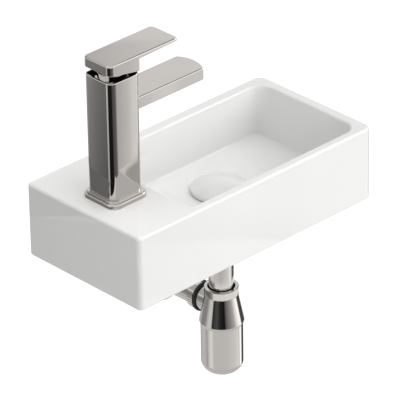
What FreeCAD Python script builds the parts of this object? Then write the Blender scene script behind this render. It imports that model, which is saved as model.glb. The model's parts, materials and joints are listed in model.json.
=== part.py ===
import FreeCAD
import Part
import math
import os
from FreeCAD import Vector

# Wall-hung hand basin with a lever mixer tap, a click waste and a bottle trap.
# Millimetres. Origin midway between the wall fixing holes, on the back face. +X right, +Y to the wall, +Z up.

# Basin
BASIN_LENGTH = 400.0
BASIN_DEPTH = 200.0
BASIN_HEIGHT = 100.0
BASIN_CORNER_R = 6.0
BASIN_RIGHT_R = 12.0
RIM_EDGE_R = 3.5
FOOT_EDGE_R = 3.0
LEDGE_LENGTH = 98.0
RIM_FRONT = 13.0
RIM_BACK = 16.0
RIM_RIGHT = 15.0
BOWL_DEPTH = 62.0
BOWL_LEAN = 11.0
BOWL_RIGHT_LEAN = 19.0
BOWL_CORNER_R = 10.0
BOWL_RIGHT_R = 20.0
FLOOR_CORNER_R = 6.0
BOWL_FLOOR_R = 4.0
BOWL_LIP_R = 3.0
BOWL_SHELL = 12.0
LEDGE_THICK = 14.0
SIDE_WALL = 12.0
HOLLOW_CORNER_R = 8.0
FIXING_HEIGHT = 14.0
FIXING_SPACING = 220.0
FIXING_HOLE_D = 12.0

# Drain in the bowl
DRAIN_FROM_LEDGE = 132.0
DRAIN_HOLE_D = 46.0
DRAIN_SEAT_D = 66.0
DISH_R = 68.0
DISH_FALL = 0.5

# Tap base
TAP_FROM_LEFT = 55.0
TAP_HOLE_D = 35.0
FLANGE_SIZE = 60.0
FLANGE_R = 12.0
FLANGE_THICK = 6.5
FLANGE_EDGE_R = 2.5
STEP_SIZE = 55.0
STEP_THICK = 2.5
STEP_EDGE_R = 1.0
GASKET_SIZE = 55.0
GASKET_WIDTH = 4.0
GASKET_THICK = 1.5

# Tap body
BODY_SIZE = 50.0
BODY_CROWN_R = 300.0
BODY_R = 9.0
BODY_TOP = 166.5
BODY_WALL = 3.5
BODY_RIM_R = 1.0
BODY_FLOOR = 5.0
POCKET_WALL = 2.5
POCKET_DEPTH = 6.5
SPIGOT_R = 17.0
SPIGOT_WALL = 1.5
SPIGOT_DEPTH = 5.0
SEAT_BLOCK = 26.0
INLET_BACK = 5.0
INLET_SIDE = 7.5
INLET_R = 4.5
INLET_LENGTH = 12.0
WATERWAY_R = 3.5

# Spout and aerator
SPOUT_WIDTH = 47.5
SPOUT_THICK = 16.0
SPOUT_TOP = 134.0
SPOUT_REACH = 135.5
SPOUT_TIP_R = 40.0
SPOUT_CORNER_R = 4.0
SPOUT_EDGE_R = 1.6
CHANNEL_R = 4.0
CHANNEL_ROOF = 2.0
TENON_R = 7.0
TENON_LENGTH = 12.0
OUTLET_PORT_X = 9.0
AERATOR_FROM_TIP = 20.0
AERATOR_R = 11.0
AERATOR_WALL = 2.0
AERATOR_LIP = 1.0
AERATOR_EDGE_R = 0.6
AERATOR_HEIGHT = 9.0
AERATOR_PROUD = 1.5
AERATOR_WASHER = 1.5
AERATOR_CHAMBER_R = 8.0
AERATOR_CHAMBER = 3.0
AERATOR_INSERT_H = 6.5
AERATOR_JET_R = 0.8
AERATOR_JET_MARGIN = 1.0
AERATOR_JET_RINGS = 3

# Cartridge
CARTRIDGE_R = 17.5
CARTRIDGE_WALL = 2.2
CARTRIDGE_SEAL_H = 1.0
CARTRIDGE_SEAL_R = 14.5
CARTRIDGE_BASE_H = 3.0
DISC_H = 3.5
MOVING_DISC_H = 4.0
MOVING_DISC_R = 10.0
DISC_POCKET_R = 2.75
DISC_POCKET_H = 3.0
CARRIER_R = 12.4
CARRIER_DROP = 2.0
CARRIER_FLOOR_GAP = 0.5
NECK_WALL = 2.3
NUT_R = 18.6
NUT_H = 6.0
SHOULDER_GAP = 0.5
PIVOT_DROP = 14.5
PIVOT_PIN_R = 1.5
PIVOT_PIN_L = 20.0

# Lever, its stem and its cover ring
STEM_SIZE = 8.0
STEM_TIP_R = 2.5
STEM_NECK_R = 2.0
STEM_SHANK_DROP = 5.0
STEM_SLOT_SWING = 2.8
COVER_R = 18.0
COVER_HEIGHT = 10.5
COVER_WALL = 2.0
COVER_EDGE_R = 0.8
COVER_FOOT_R = 20.0
COVER_FOOT_H = 1.5
LEVER_RISE = 23.5
LEVER_LENGTH = 113.0
LEVER_WIDTH = 47.5
LEVER_R = 6.5
LEVER_TIP_T = 3.4
LEVER_PLATE_T = 5.0
LEVER_HEAD_BACK_T = 13.5
LEVER_HEAD_FRONT_T = 22.4
LEVER_WALL = 3.5
LEVER_HEAD_R = 3.25
LEVER_EDGE_R = 1.8
LEVER_FOOT_R = 1.5
SOCKET_SIZE = 15.0
SOCKET_HEIGHT = 13.0
GRUB_R = 2.5
GRUB_LENGTH = 6.0
GRUB_DROP = 12.5
PLUG_HOLE_R = 3.5
INDICATOR_PROUD = 0.5
INDICATOR_EDGE_R = 0.4

# Tap fixings under the ledge
STUD_R = 3.0
STUD_FORWARD = 11.0
STUD_LENGTH = 78.0
STUD_IN_LUG = 18.0
LUG_WIDTH = 13.0
LUG_HEIGHT = 24.0
LUG_LAND = 3.0
SHOE_R = 25.0
SHOE_MOUTH_R = 13.5
SHOE_MOUTH_BACK = 7.0
SHOE_GASKET_H = 2.5
SHOE_H = 3.0
FIX_NUT_FLATS = 11.0
FIX_NUT_H = 14.0
NUT_CHAMFER = 30.0

# Click waste
WASTE_FLANGE_R = 31.5
WASTE_FLANGE_H = 2.5
WASTE_FLANGE_EDGE_R = 0.8
WASTE_MOUTH_R = 1.2
WASTE_TOP_SEAL_H = 1.0
WASTE_TOP_SEAL_R = 30.5
WASTE_TAIL_R = 20.9
WASTE_TAIL_WALL = 2.6
WASTE_TAIL_LENGTH = 62.0
WASTE_LOW_SEAL_H = 4.0
WASTE_LOW_SEAL_R = 31.0
BACK_NUT_FLATS = 56.0
BACK_NUT_H = 8.0
SPOKES = 3
SPOKE_WIDTH = 4.0
SPOKE_HEIGHT = 6.0
SPOKE_DROP = 26.0
BARREL_R = 9.0
BARREL_WALL = 2.0
BARREL_ABOVE_SPOKE = 8.0
BARREL_BELOW_SPOKE = 20.0
BARREL_ROOF = 2.0
PLUG_TRAVEL = 8.0
PLUNGER_ROD_R = 4.0
PLUNGER_HEAD_H = 6.0
PLUNGER_ROOT_R = 12.0
PLUNGER_ROOT_H = 2.0
CAP_R = 36.8
CAP_SKIRT_WALL = 4.0
CAP_CROWN = 10.0
CAP_FLOOR_GAP = 0.8
CAP_EDGE_R = 1.2
PLUG_SEAL_H = 2.0
PLUG_SEAL_R = 29.0
PLUG_SEAL_WIDTH = 5.0
SPRING_WIRE_R = 0.45
SPRING_TURNS = 5
SPRING_COIL_R = 5.0

# Bottle trap
TUBE_R = 16.0
TUBE_WALL = 1.5
TUBE_FLANGE_H = 2.0
INLET_NUT_R = 26.0
INLET_NUT_GRIP = 14.0
INLET_NUT_LIP = 3.0
INLET_NUT_EDGE_R = 1.2
INLET_WASHER_H = 2.0
NECK_DROP = 74.5
NECK_NUT_R = 22.0
NECK_NUT_H = 11.0
NECK_NUT_LIP = 3.0
NECK_NUT_MOUTH = 1.8
NECK_NUT_EDGE_R = 0.8
NECK_SEAL_H = 3.0
NECK_COLLAR_WALL = 2.6
CONE_TOP_R = 21.2
CONE_R = 28.9
CONE_HEIGHT = 38.0
CONE_TOP_EDGE_R = 0.6
CONE_FOOT_R = 2.0
SKIRT_HEIGHT = 4.0
TRAP_WALL = 2.5
CUP_R = 27.0
CUP_HEIGHT = 69.5
CUP_BOTTOM_R = 15.0
CUP_WALL = 2.0
CUP_NECK = 8.0
CUP_SEAL_H = 1.5
DIP = 40.0
OUTLET_DROP = 18.0
STUB_R = 17.4
STUB_LENGTH = 39.5
STUB_BORE_R = 14.0
OUTLET_SOCKET = 13.0
OUTLET_NUT_R = 19.0
OUTLET_NUT_FROM_AXIS = 34.5
OUTLET_NUT_LENGTH = 10.5
OUTLET_NUT_EDGE_R = 0.8
OUTLET_RING_R = 20.0
OUTLET_RING_LENGTH = 5.0
OUTLET_RING_EDGE_R = 1.5
OUTLET_SEAL_L = 2.5
SPIGOT_END_R = 15.5
SPIGOT_END_LENGTH = 40.0
ROSETTE_R = 32.0
ROSETTE_DEPTH = 7.0
ROSETTE_WALL = 1.0
ROSETTE_COLLAR_R = 18.5
ROSETTE_FRONT_R = 0.8
ROSETTE_RIM_R = 0.6

# Clearances
FIT = 0.1
RUNNING = 0.05
THREAD_GAP = 0.05
LOOSE = 0.6

# Smallest length that counts when edges are picked by place
TOUCH = 1e-4

# Levels and axes worked out from the sizes above
LEFT_X = -BASIN_LENGTH / 2
RIGHT_X = BASIN_LENGTH / 2
FRONT_Y = -BASIN_DEPTH
MID_Y = FRONT_Y / 2
FOOT_Z = -FIXING_HEIGHT
RIM_Z = FOOT_Z + BASIN_HEIGHT
LEDGE_X = LEFT_X + LEDGE_LENGTH
BOWL_FLOOR_Z = RIM_Z - BOWL_DEPTH
SEAT_Z = BOWL_FLOOR_Z - DISH_FALL
RECESS_Z = SEAT_Z - BOWL_SHELL
TAP_X = LEFT_X + TAP_FROM_LEFT
DRAIN_X = LEDGE_X + DRAIN_FROM_LEDGE
BODY_FOOT_Z = RIM_Z + FLANGE_THICK + STEP_THICK
BODY_TOP_Z = RIM_Z + BODY_TOP
POCKET_Z = BODY_TOP_Z - POCKET_DEPTH
SPOUT_TOP_Z = RIM_Z + SPOUT_TOP
SPOUT_LOW_Z = SPOUT_TOP_Z - SPOUT_THICK
CHANNEL_Z = SPOUT_TOP_Z - CHANNEL_ROOF - CHANNEL_R
CARTRIDGE_Z = SPOUT_TOP_Z
BLOCK_Z = CARTRIDGE_Z - SEAT_BLOCK
CARTRIDGE_BASE_Z = CARTRIDGE_Z + CARTRIDGE_SEAL_H
DISC_Z = CARTRIDGE_BASE_Z + CARTRIDGE_BASE_H
MOVING_DISC_Z = DISC_Z + DISC_H
CARRIER_Z = MOVING_DISC_Z + MOVING_DISC_H + CARRIER_FLOOR_GAP
SHOULDER_Z = POCKET_Z - NUT_H
PIVOT_Z = BODY_TOP_Z - PIVOT_DROP
STEM_TIP_Z = MOVING_DISC_Z + MOVING_DISC_H - DISC_POCKET_H + STEM_TIP_R + 2 * FIT
LEVER_TOP_Z = BODY_TOP_Z + LEVER_RISE
LEVER_BACK_X = TAP_X - BODY_SIZE / 2
LEVER_FRONT_X = TAP_X + BODY_SIZE / 2
GRUB_Z = LEVER_TOP_Z - GRUB_DROP
LEDGE_UNDER_Z = RIM_Z - LEDGE_THICK
AERATOR_X = TAP_X + SPOUT_REACH - AERATOR_FROM_TIP
WASTE_FLANGE_Z = SEAT_Z + WASTE_TOP_SEAL_H
WASTE_TOP_Z = WASTE_FLANGE_Z + WASTE_FLANGE_H
WASTE_END_Z = SEAT_Z - WASTE_TAIL_LENGTH
CAP_UNDER_Z = WASTE_TOP_Z + PLUG_SEAL_H
CAP_FOOT_Z = SEAT_Z + CAP_FLOOR_GAP
SPOKE_Z = SEAT_Z - SPOKE_DROP
BARREL_TOP_Z = SPOKE_Z + BARREL_ABOVE_SPOKE
BARREL_LOW_Z = SPOKE_Z - BARREL_BELOW_SPOKE
PLUNGER_TOP_Z = BARREL_TOP_Z - BARREL_ROOF - PLUG_TRAVEL - LOOSE
PLUNGER_LOW_Z = PLUNGER_TOP_Z - PLUNGER_HEAD_H
TUBE_TOP_Z = WASTE_END_Z - INLET_WASHER_H
NECK_NUT_Z = WASTE_END_Z - NECK_DROP
CONE_TOP_Z = NECK_NUT_Z - NECK_NUT_H
CONE_LOW_Z = CONE_TOP_Z - CONE_HEIGHT
CUP_TOP_Z = CONE_LOW_Z - SKIRT_HEIGHT
CUP_LOW_Z = CUP_TOP_Z - CUP_HEIGHT
CUP_NECK_R = CUP_R - CUP_WALL
CUP_NECK_Z = CUP_TOP_Z + CUP_NECK
CUP_SHELF_Z = CUP_NECK_Z + CUP_SEAL_H
TUBE_LOW_Z = CUP_TOP_Z - DIP
OUTLET_Z = CONE_TOP_Z - OUTLET_DROP
STUB_END_Y = MID_Y + STUB_LENGTH
OUTLET_NUT_Y = MID_Y + OUTLET_NUT_FROM_AXIS
PIPE_START_Y = STUB_END_Y - OUTLET_SOCKET

UP = Vector(0, 0, 1)
BACKWARD = Vector(0, 1, 0)
FORWARD_X = Vector(1, 0, 0)


def rounded_corners(points):
    """Closed wire in the XZ plane through (x, z, corner radius) points."""
    count = len(points)
    runs = []
    edges = []
    for i in range(count):
        before = points[i - 1]
        here = points[i]
        after = points[(i + 1) % count]
        corner = Vector(here[0], 0, here[1])
        back = Vector(before[0], 0, before[1]) - corner
        ahead = Vector(after[0], 0, after[1]) - corner
        back.normalize()
        ahead.normalize()
        if here[2] > 0:
            half = back.getAngle(ahead) / 2
            reach = here[2] / math.tan(half)
            middle = back + ahead
            middle.normalize()
            centre = corner + middle * (here[2] / math.sin(half))
            start = corner + back * reach
            end = corner + ahead * reach
            edges.append(Part.Arc(start, centre - middle * here[2], end).toShape())
            runs.append((start, end))
        else:
            runs.append((corner, corner))
    for i in range(count):
        start = runs[i - 1][1]
        end = runs[i][0]
        if start.distanceToPoint(end) > TOUCH:
            edges.append(Part.makeLine(start, end))
    return Part.Wire(Part.__sortEdges__(edges))


def turned(points, x, y):
    """Solid of revolution of (radius, z, corner radius) points about the upright line at x, y."""
    face = Part.Face(rounded_corners(points))
    face.translate(Vector(x, y, 0))
    return face.revolve(Vector(x, y, 0), UP, 360)


def turned_along_y(points, x, z):
    """Solid of revolution of (radius, y, corner radius) points about the line along Y at x, z."""
    solid = turned(points, 0, 0)
    solid.rotate(Vector(0, 0, 0), FORWARD_X, -90)
    solid.translate(Vector(x, 0, z))
    return solid


def sharp(pairs):
    """Outline points with no rounding."""
    return [(u, v, 0) for u, v in pairs]


def rounded_rectangle(x0, x1, y0, y1, r, z, right_r=None):
    """Closed flat wire at height z with corner arcs; the two on the right may have a radius of their own."""
    q = right_r or r
    cut = r * (1 - math.sqrt(0.5))
    right_cut = q * (1 - math.sqrt(0.5))
    edges = [
        Part.makeLine(Vector(x0 + r, y0, z), Vector(x1 - q, y0, z)),
        Part.Arc(Vector(x1 - q, y0, z), Vector(x1 - right_cut, y0 + right_cut, z), Vector(x1, y0 + q, z)).toShape(),
        Part.makeLine(Vector(x1, y0 + q, z), Vector(x1, y1 - q, z)),
        Part.Arc(Vector(x1, y1 - q, z), Vector(x1 - right_cut, y1 - right_cut, z), Vector(x1 - q, y1, z)).toShape(),
        Part.makeLine(Vector(x1 - q, y1, z), Vector(x0 + r, y1, z)),
        Part.Arc(Vector(x0 + r, y1, z), Vector(x0 + cut, y1 - cut, z), Vector(x0, y1 - r, z)).toShape(),
        Part.makeLine(Vector(x0, y1 - r, z), Vector(x0, y0 + r, z)),
        Part.Arc(Vector(x0, y0 + r, z), Vector(x0 + cut, y0 + cut, z), Vector(x0 + r, y0, z)).toShape(),
    ]
    return Part.Wire(edges)


def prism(x0, x1, y0, y1, r, z0, z1, right_r=None):
    """Upright block with rounded upright corners."""
    face = Part.Face(rounded_rectangle(x0, x1, y0, y1, r, z0, right_r))
    return face.extrude(UP * (z1 - z0))


def square_prism(size, r, z0, z1):
    """Square block centred on the tap's axis."""
    half = size / 2
    return prism(TAP_X - half, TAP_X + half, MID_Y - half, MID_Y + half, r, z0, z1)


def block(x0, x1, y0, y1, z0, z1):
    """Plain box."""
    return Part.makeBox(x1 - x0, y1 - y0, z1 - z0, Vector(x0, y0, z0))


def post(r, z0, z1, x, y):
    """Upright cylinder."""
    return Part.makeCylinder(r, z1 - z0, Vector(x, y, z0), UP)


def ring(r_out, r_in, z0, z1, x, y):
    """Upright ring."""
    return post(r_out, z0, z1, x, y).cut(post(r_in, z0, z1, x, y))


def rod_x(r, x0, x1, y, z):
    """Cylinder along X."""
    return Part.makeCylinder(r, x1 - x0, Vector(x0, y, z), FORWARD_X)


def rod_y(r, y0, y1, x, z):
    """Cylinder along Y."""
    return Part.makeCylinder(r, y1 - y0, Vector(x, y0, z), BACKWARD)


def hexagon(flats, z0, z1, x, y):
    """Upright hexagonal block measured across its flats."""
    r = flats / math.sqrt(3)
    corners = [Vector(x + r * math.cos(math.radians(60 * i)), y + r * math.sin(math.radians(60 * i)), z0)
               for i in range(7)]
    return Part.Face(Part.makePolygon(corners)).extrude(UP * (z1 - z0))


def hex_nut(flats, bore_r, z0, z1, x, y):
    """Hexagon nut with its corners turned off at both ends."""
    r_corner = flats / math.sqrt(3)
    chamfer = (r_corner - flats / 2) * math.tan(math.radians(NUT_CHAMFER))
    drum = turned(sharp([(0, z0), (flats / 2, z0), (r_corner, z0 + chamfer),
                         (r_corner, z1 - chamfer), (flats / 2, z1), (0, z1)]), x, y)
    return hexagon(flats, z0, z1, x, y).common(drum).cut(post(bore_r, z0, z1, x, y))


def soften(shape, r, wanted):
    """Round the edges whose end points all pass the test."""
    edges = [e for e in shape.Edges if all(wanted(v.Point) for v in e.Vertexes)]
    return shape.makeFillet(r, edges)


def level(z):
    """Test for points at one height."""
    return lambda p: abs(p.z - z) < TOUCH


def make_bowl_space():
    """The bowl's inside: leaning walls, rounded foot and a dished floor round the drain."""
    x0 = LEDGE_X
    x1 = RIGHT_X - RIM_RIGHT
    y0 = FRONT_Y + RIM_FRONT
    y1 = -RIM_BACK
    mouth = rounded_rectangle(x0, x1, y0, y1, BOWL_CORNER_R, RIM_Z, BOWL_RIGHT_R)
    floor = rounded_rectangle(x0 + BOWL_LEAN, x1 - BOWL_RIGHT_LEAN, y0 + BOWL_LEAN, y1 - BOWL_LEAN,
                              FLOOR_CORNER_R, BOWL_FLOOR_Z)
    space = Part.makeLoft([floor, mouth], True, True)
    space = soften(space, BOWL_FLOOR_R, level(BOWL_FLOOR_Z))
    seat_r = DRAIN_SEAT_D / 2
    dish = Part.makeCone(seat_r, DISH_R, DISH_FALL, Vector(DRAIN_X, MID_Y, SEAT_Z), UP)
    return space.fuse(dish).fuse(post(DRAIN_HOLE_D / 2, RECESS_Z, SEAT_Z, DRAIN_X, MID_Y))


def make_basin():
    """One fired clay body: bowl, tap ledge, outer walls and the hollow open underneath."""
    body = prism(LEFT_X, RIGHT_X, FRONT_Y, 0, BASIN_CORNER_R, FOOT_Z, RIM_Z, BASIN_RIGHT_R)
    body = soften(body, RIM_EDGE_R, level(RIM_Z))
    body = soften(body, FOOT_EDGE_R, level(FOOT_Z))
    body = body.cut(make_bowl_space())
    walls_x = (LEDGE_X, RIGHT_X - RIM_RIGHT)
    walls_y = (FRONT_Y + RIM_FRONT, -RIM_BACK)
    body = soften(body, BOWL_LIP_R, lambda p: abs(p.z - RIM_Z) < TOUCH
                  and walls_x[0] - TOUCH < p.x < walls_x[1] + TOUCH
                  and walls_y[0] - TOUCH < p.y < walls_y[1] + TOUCH)
    under_ledge = prism(LEFT_X + SIDE_WALL, LEDGE_X - BOWL_SHELL, walls_y[0], walls_y[1],
                        HOLLOW_CORNER_R, FOOT_Z, LEDGE_UNDER_Z)
    under_bowl = prism(LEFT_X + SIDE_WALL, walls_x[1], walls_y[0], walls_y[1],
                       HOLLOW_CORNER_R, FOOT_Z, RECESS_Z)
    body = body.cut(under_ledge.fuse(under_bowl))
    body = body.cut(post(TAP_HOLE_D / 2, LEDGE_UNDER_Z, RIM_Z, TAP_X, MID_Y))
    for side in (-1, 1):
        body = body.cut(rod_y(FIXING_HOLE_D / 2, -RIM_BACK, 0, side * FIXING_SPACING / 2, 0))
    return body


def make_tap_base_plate():
    """Stepped square plate between the tap body and the ledge, with a groove for its gasket."""
    step_r = FLANGE_R - (FLANGE_SIZE - STEP_SIZE) / 2
    lower_top = RIM_Z + FLANGE_THICK
    lower = soften(square_prism(FLANGE_SIZE, FLANGE_R, RIM_Z, lower_top), FLANGE_EDGE_R, level(lower_top))
    upper = soften(square_prism(STEP_SIZE, step_r, lower_top, BODY_FOOT_Z), STEP_EDGE_R, level(BODY_FOOT_Z))
    plate = lower.fuse(upper)
    plate = plate.cut(post(SPIGOT_R + FIT, RIM_Z, BODY_FOOT_Z, TAP_X, MID_Y))
    return plate.cut(make_tap_base_gasket())


def make_tap_base_gasket():
    """Flat rubber frame in the base plate's groove."""
    edge_r = FLANGE_R - (FLANGE_SIZE - GASKET_SIZE) / 2
    outer = square_prism(GASKET_SIZE, edge_r, RIM_Z, RIM_Z + GASKET_THICK)
    inner_size = GASKET_SIZE - 2 * GASKET_WIDTH
    return outer.cut(square_prism(inner_size, edge_r - GASKET_WIDTH, RIM_Z, RIM_Z + GASKET_THICK))


def body_outside():
    """The tap body's outer prism, with sides that bow out a little and corner arcs tangent to them."""
    half = BODY_SIZE / 2
    inset = BODY_CROWN_R - half
    between = BODY_CROWN_R - BODY_R
    corner = (math.sqrt(2 * between ** 2 - inset ** 2) - inset) / 2
    along = BODY_CROWN_R * (corner + inset) / between - inset
    across = BODY_CROWN_R * corner / between
    knee = corner + BODY_R * math.sqrt(0.5)
    axis = Vector(TAP_X, MID_Y, BODY_FOOT_Z)
    edges = []
    for quarter in range(4):
        turn = FreeCAD.Rotation(UP, 90 * quarter)
        for points in (((along, -across), (half, 0), (along, across)),
                       ((along, across), (knee, knee), (across, along))):
            start, middle, end = [axis + turn.multVec(Vector(x, y, 0)) for x, y in points]
            edges.append(Part.Arc(start, middle, end).toShape())
    return Part.Face(Part.Wire(edges)).extrude(UP * (BODY_TOP_Z - BODY_FOOT_Z))


def port_places():
    """Plan positions of the cold and hot waterways."""
    return [(TAP_X - INLET_BACK, MID_Y - INLET_SIDE), (TAP_X - INLET_BACK, MID_Y + INLET_SIDE)]


def ports(z0, z1):
    """The three waterways that run through the cartridge's seat, as cylinders."""
    places = port_places() + [(TAP_X + OUTLET_PORT_X, MID_Y)]
    return [post(WATERWAY_R, z0, z1, x, y) for x, y in places]


def make_tap_body():
    """Brass body: hollow column, seat block with threaded inlets, cartridge bore and an open top pocket."""
    body = soften(body_outside(), BODY_RIM_R, level(BODY_TOP_Z))
    inner = BODY_SIZE - 2 * BODY_WALL
    hollow = square_prism(inner, BODY_R - BODY_WALL, BODY_FOOT_Z + BODY_FLOOR, BLOCK_Z)
    body = body.cut(hollow)
    lug = block(TAP_X + STUD_FORWARD - STUD_R - LUG_LAND, TAP_X + inner / 2 + BODY_WALL / 2,
                MID_Y - LUG_WIDTH / 2, MID_Y + LUG_WIDTH / 2, BODY_FOOT_Z, BODY_FOOT_Z + LUG_HEIGHT)
    spigot_low = RIM_Z - SPIGOT_DEPTH
    spigot_bore = post(SPIGOT_R - SPIGOT_WALL, spigot_low, BODY_FOOT_Z + BODY_FLOOR, TAP_X, MID_Y)
    body = body.fuse(post(SPIGOT_R, spigot_low, BODY_FOOT_Z, TAP_X, MID_Y))
    body = body.cut(spigot_bore).fuse(lug)
    stud_x = TAP_X + STUD_FORWARD
    body = body.cut(post(STUD_R + THREAD_GAP, spigot_low, BODY_FOOT_Z + STUD_IN_LUG + LOOSE, stud_x, MID_Y))
    for x, y in port_places():
        body = body.cut(post(INLET_R, BLOCK_Z, BLOCK_Z + INLET_LENGTH, x, y))
        body = body.cut(post(WATERWAY_R, BLOCK_Z, CARTRIDGE_Z, x, y))
    body = body.cut(post(WATERWAY_R, CHANNEL_Z, CARTRIDGE_Z, TAP_X + OUTLET_PORT_X, MID_Y))
    body = body.cut(post(CARTRIDGE_R + FIT, CARTRIDGE_Z, SHOULDER_Z, TAP_X, MID_Y))
    body = body.cut(post(NUT_R + THREAD_GAP, SHOULDER_Z, POCKET_Z, TAP_X, MID_Y))
    body = body.cut(square_prism(BODY_SIZE - 2 * POCKET_WALL, BODY_R - POCKET_WALL, POCKET_Z, BODY_TOP_Z))
    tenon_x = LEVER_FRONT_X - TENON_LENGTH
    body = body.cut(rod_x(TENON_R + FIT, tenon_x, LEVER_FRONT_X, MID_Y, CHANNEL_Z - CHANNEL_R / 2))
    return body.cut(rod_x(CHANNEL_R, TAP_X + OUTLET_PORT_X, tenon_x, MID_Y, CHANNEL_Z))


def spout_plan():
    """Flat outline of the spout: straight sides, a bowed tip and tangent corner arcs."""
    half = SPOUT_WIDTH / 2
    start_x = TAP_X + BODY_SIZE / 2 - BODY_R
    tip_x = TAP_X + SPOUT_REACH
    bow = Vector(tip_x - SPOUT_TIP_R, MID_Y, SPOUT_LOW_Z)
    inset = half - SPOUT_CORNER_R
    side_x = bow.x + math.sqrt((SPOUT_TIP_R - SPOUT_CORNER_R) ** 2 - inset ** 2)

    def corner(side):
        middle = Vector(side_x, MID_Y + side * inset, SPOUT_LOW_Z)
        outward = (middle - bow).normalize()
        side_end = Vector(side_x, MID_Y + side * half, SPOUT_LOW_Z)
        tip_end = middle + outward * SPOUT_CORNER_R
        halfway = (outward + Vector(0, side, 0)).normalize()
        return side_end, middle + halfway * SPOUT_CORNER_R, tip_end

    near = corner(-1)
    far = corner(1)
    tip = Vector(tip_x, MID_Y, SPOUT_LOW_Z)
    root = [Vector(start_x, MID_Y - half, SPOUT_LOW_Z), Vector(start_x, MID_Y + half, SPOUT_LOW_Z)]
    return Part.Wire([
        Part.makeLine(root[0], near[0]),
        Part.Arc(near[0], near[1], near[2]).toShape(),
        Part.Arc(near[2], tip, far[2]).toShape(),
        Part.Arc(far[2], far[1], far[0]).toShape(),
        Part.makeLine(far[0], root[1]),
        Part.makeLine(root[1], root[0]),
    ])


def make_tap_spout():
    """Flat spout with a bowed end, a tenon into the body, a water channel and the aerator's socket."""
    spout = Part.Face(spout_plan()).extrude(UP * SPOUT_THICK)
    root_x = spout.BoundBox.XMin
    rim = [e for e in spout.Edges if e.BoundBox.ZLength < TOUCH and e.BoundBox.XMax > root_x + TOUCH]
    spout = spout.makeFillet(SPOUT_EDGE_R, rim)
    spout = spout.cut(body_outside())
    tenon_x = LEVER_FRONT_X - TENON_LENGTH
    tenon = rod_x(TENON_R, tenon_x, LEVER_FRONT_X, MID_Y, CHANNEL_Z - CHANNEL_R / 2)
    spout = spout.fuse(tenon)
    socket_top = SPOUT_LOW_Z + AERATOR_HEIGHT - AERATOR_PROUD + AERATOR_WASHER
    spout = spout.cut(rod_x(CHANNEL_R, tenon_x, AERATOR_X, MID_Y, CHANNEL_Z))
    spout = spout.cut(post(AERATOR_R + FIT, SPOUT_LOW_Z, socket_top, AERATOR_X, MID_Y))
    return spout.cut(post(AERATOR_CHAMBER_R, socket_top, socket_top + AERATOR_CHAMBER, AERATOR_X, MID_Y))


def make_aerator_housing():
    """Threaded sleeve under the spout's end."""
    low = SPOUT_LOW_Z - AERATOR_PROUD
    inner = AERATOR_R - AERATOR_WALL
    shelf = low + AERATOR_HEIGHT - AERATOR_INSERT_H
    top = low + AERATOR_HEIGHT
    profile = [(inner - AERATOR_LIP, low, 0), (AERATOR_R, low, AERATOR_EDGE_R), (AERATOR_R, top, 0),
               (inner, top, 0), (inner, shelf, 0), (inner - AERATOR_LIP, shelf, 0)]
    return turned(profile, AERATOR_X, MID_Y)


def make_aerator_insert():
    """Perforated jet former inside the aerator housing."""
    top = SPOUT_LOW_Z - AERATOR_PROUD + AERATOR_HEIGHT
    low = top - AERATOR_INSERT_H
    r = AERATOR_R - AERATOR_WALL - FIT
    insert = post(r, low, top, AERATOR_X, MID_Y)
    pitch = (r - AERATOR_JET_MARGIN - AERATOR_JET_R) / AERATOR_JET_RINGS
    jets = [post(AERATOR_JET_R, low, top, AERATOR_X, MID_Y)]
    for row in range(1, AERATOR_JET_RINGS + 1):
        for i in range(6 * row):
            turn = 2 * math.pi * i / (6 * row)
            jets.append(post(AERATOR_JET_R, low, top, AERATOR_X + row * pitch * math.cos(turn),
                             MID_Y + row * pitch * math.sin(turn)))
    return insert.cut(jets)


def make_aerator_washer():
    """Rubber ring between the aerator and the spout."""
    low = SPOUT_LOW_Z - AERATOR_PROUD + AERATOR_HEIGHT
    return ring(AERATOR_R, AERATOR_CHAMBER_R, low, low + AERATOR_WASHER, AERATOR_X, MID_Y)


def make_cartridge_seal():
    """Rubber face seal under the cartridge, with one hole for each waterway."""
    seal = post(CARTRIDGE_SEAL_R, CARTRIDGE_Z, CARTRIDGE_BASE_Z, TAP_X, MID_Y)
    return seal.cut(ports(CARTRIDGE_Z, CARTRIDGE_BASE_Z))


def make_cartridge_base():
    """Plastic foot that carries the fixed disc."""
    foot = post(CARTRIDGE_R - CARTRIDGE_WALL - FIT, CARTRIDGE_BASE_Z, DISC_Z, TAP_X, MID_Y)
    return foot.cut(ports(CARTRIDGE_BASE_Z, DISC_Z))


def make_fixed_disc():
    """Ceramic disc with the three ports."""
    disc = post(CARTRIDGE_R - CARTRIDGE_WALL - FIT, DISC_Z, MOVING_DISC_Z, TAP_X, MID_Y)
    return disc.cut(ports(DISC_Z, MOVING_DISC_Z))


def make_moving_disc():
    """Ceramic disc that slides on the fixed one, with a socket for the stem's tip."""
    top = MOVING_DISC_Z + MOVING_DISC_H
    disc = post(MOVING_DISC_R, MOVING_DISC_Z, top, TAP_X, MID_Y)
    return disc.cut(post(DISC_POCKET_R, top - DISC_POCKET_H, top, TAP_X, MID_Y))


def make_cartridge_housing():
    """Plastic shell round the discs, with the neck that guides the carrier."""
    inner = CARTRIDGE_R - CARTRIDGE_WALL
    guide = CARRIER_R + RUNNING
    neck = guide + NECK_WALL
    shoulder = SHOULDER_Z - SHOULDER_GAP
    return turned(sharp([(inner, CARTRIDGE_BASE_Z), (CARTRIDGE_R, CARTRIDGE_BASE_Z), (CARTRIDGE_R, shoulder),
                         (neck, shoulder), (neck, POCKET_Z), (guide, POCKET_Z), (guide, CARRIER_Z),
                         (inner, CARRIER_Z)]), TAP_X, MID_Y)


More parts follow.
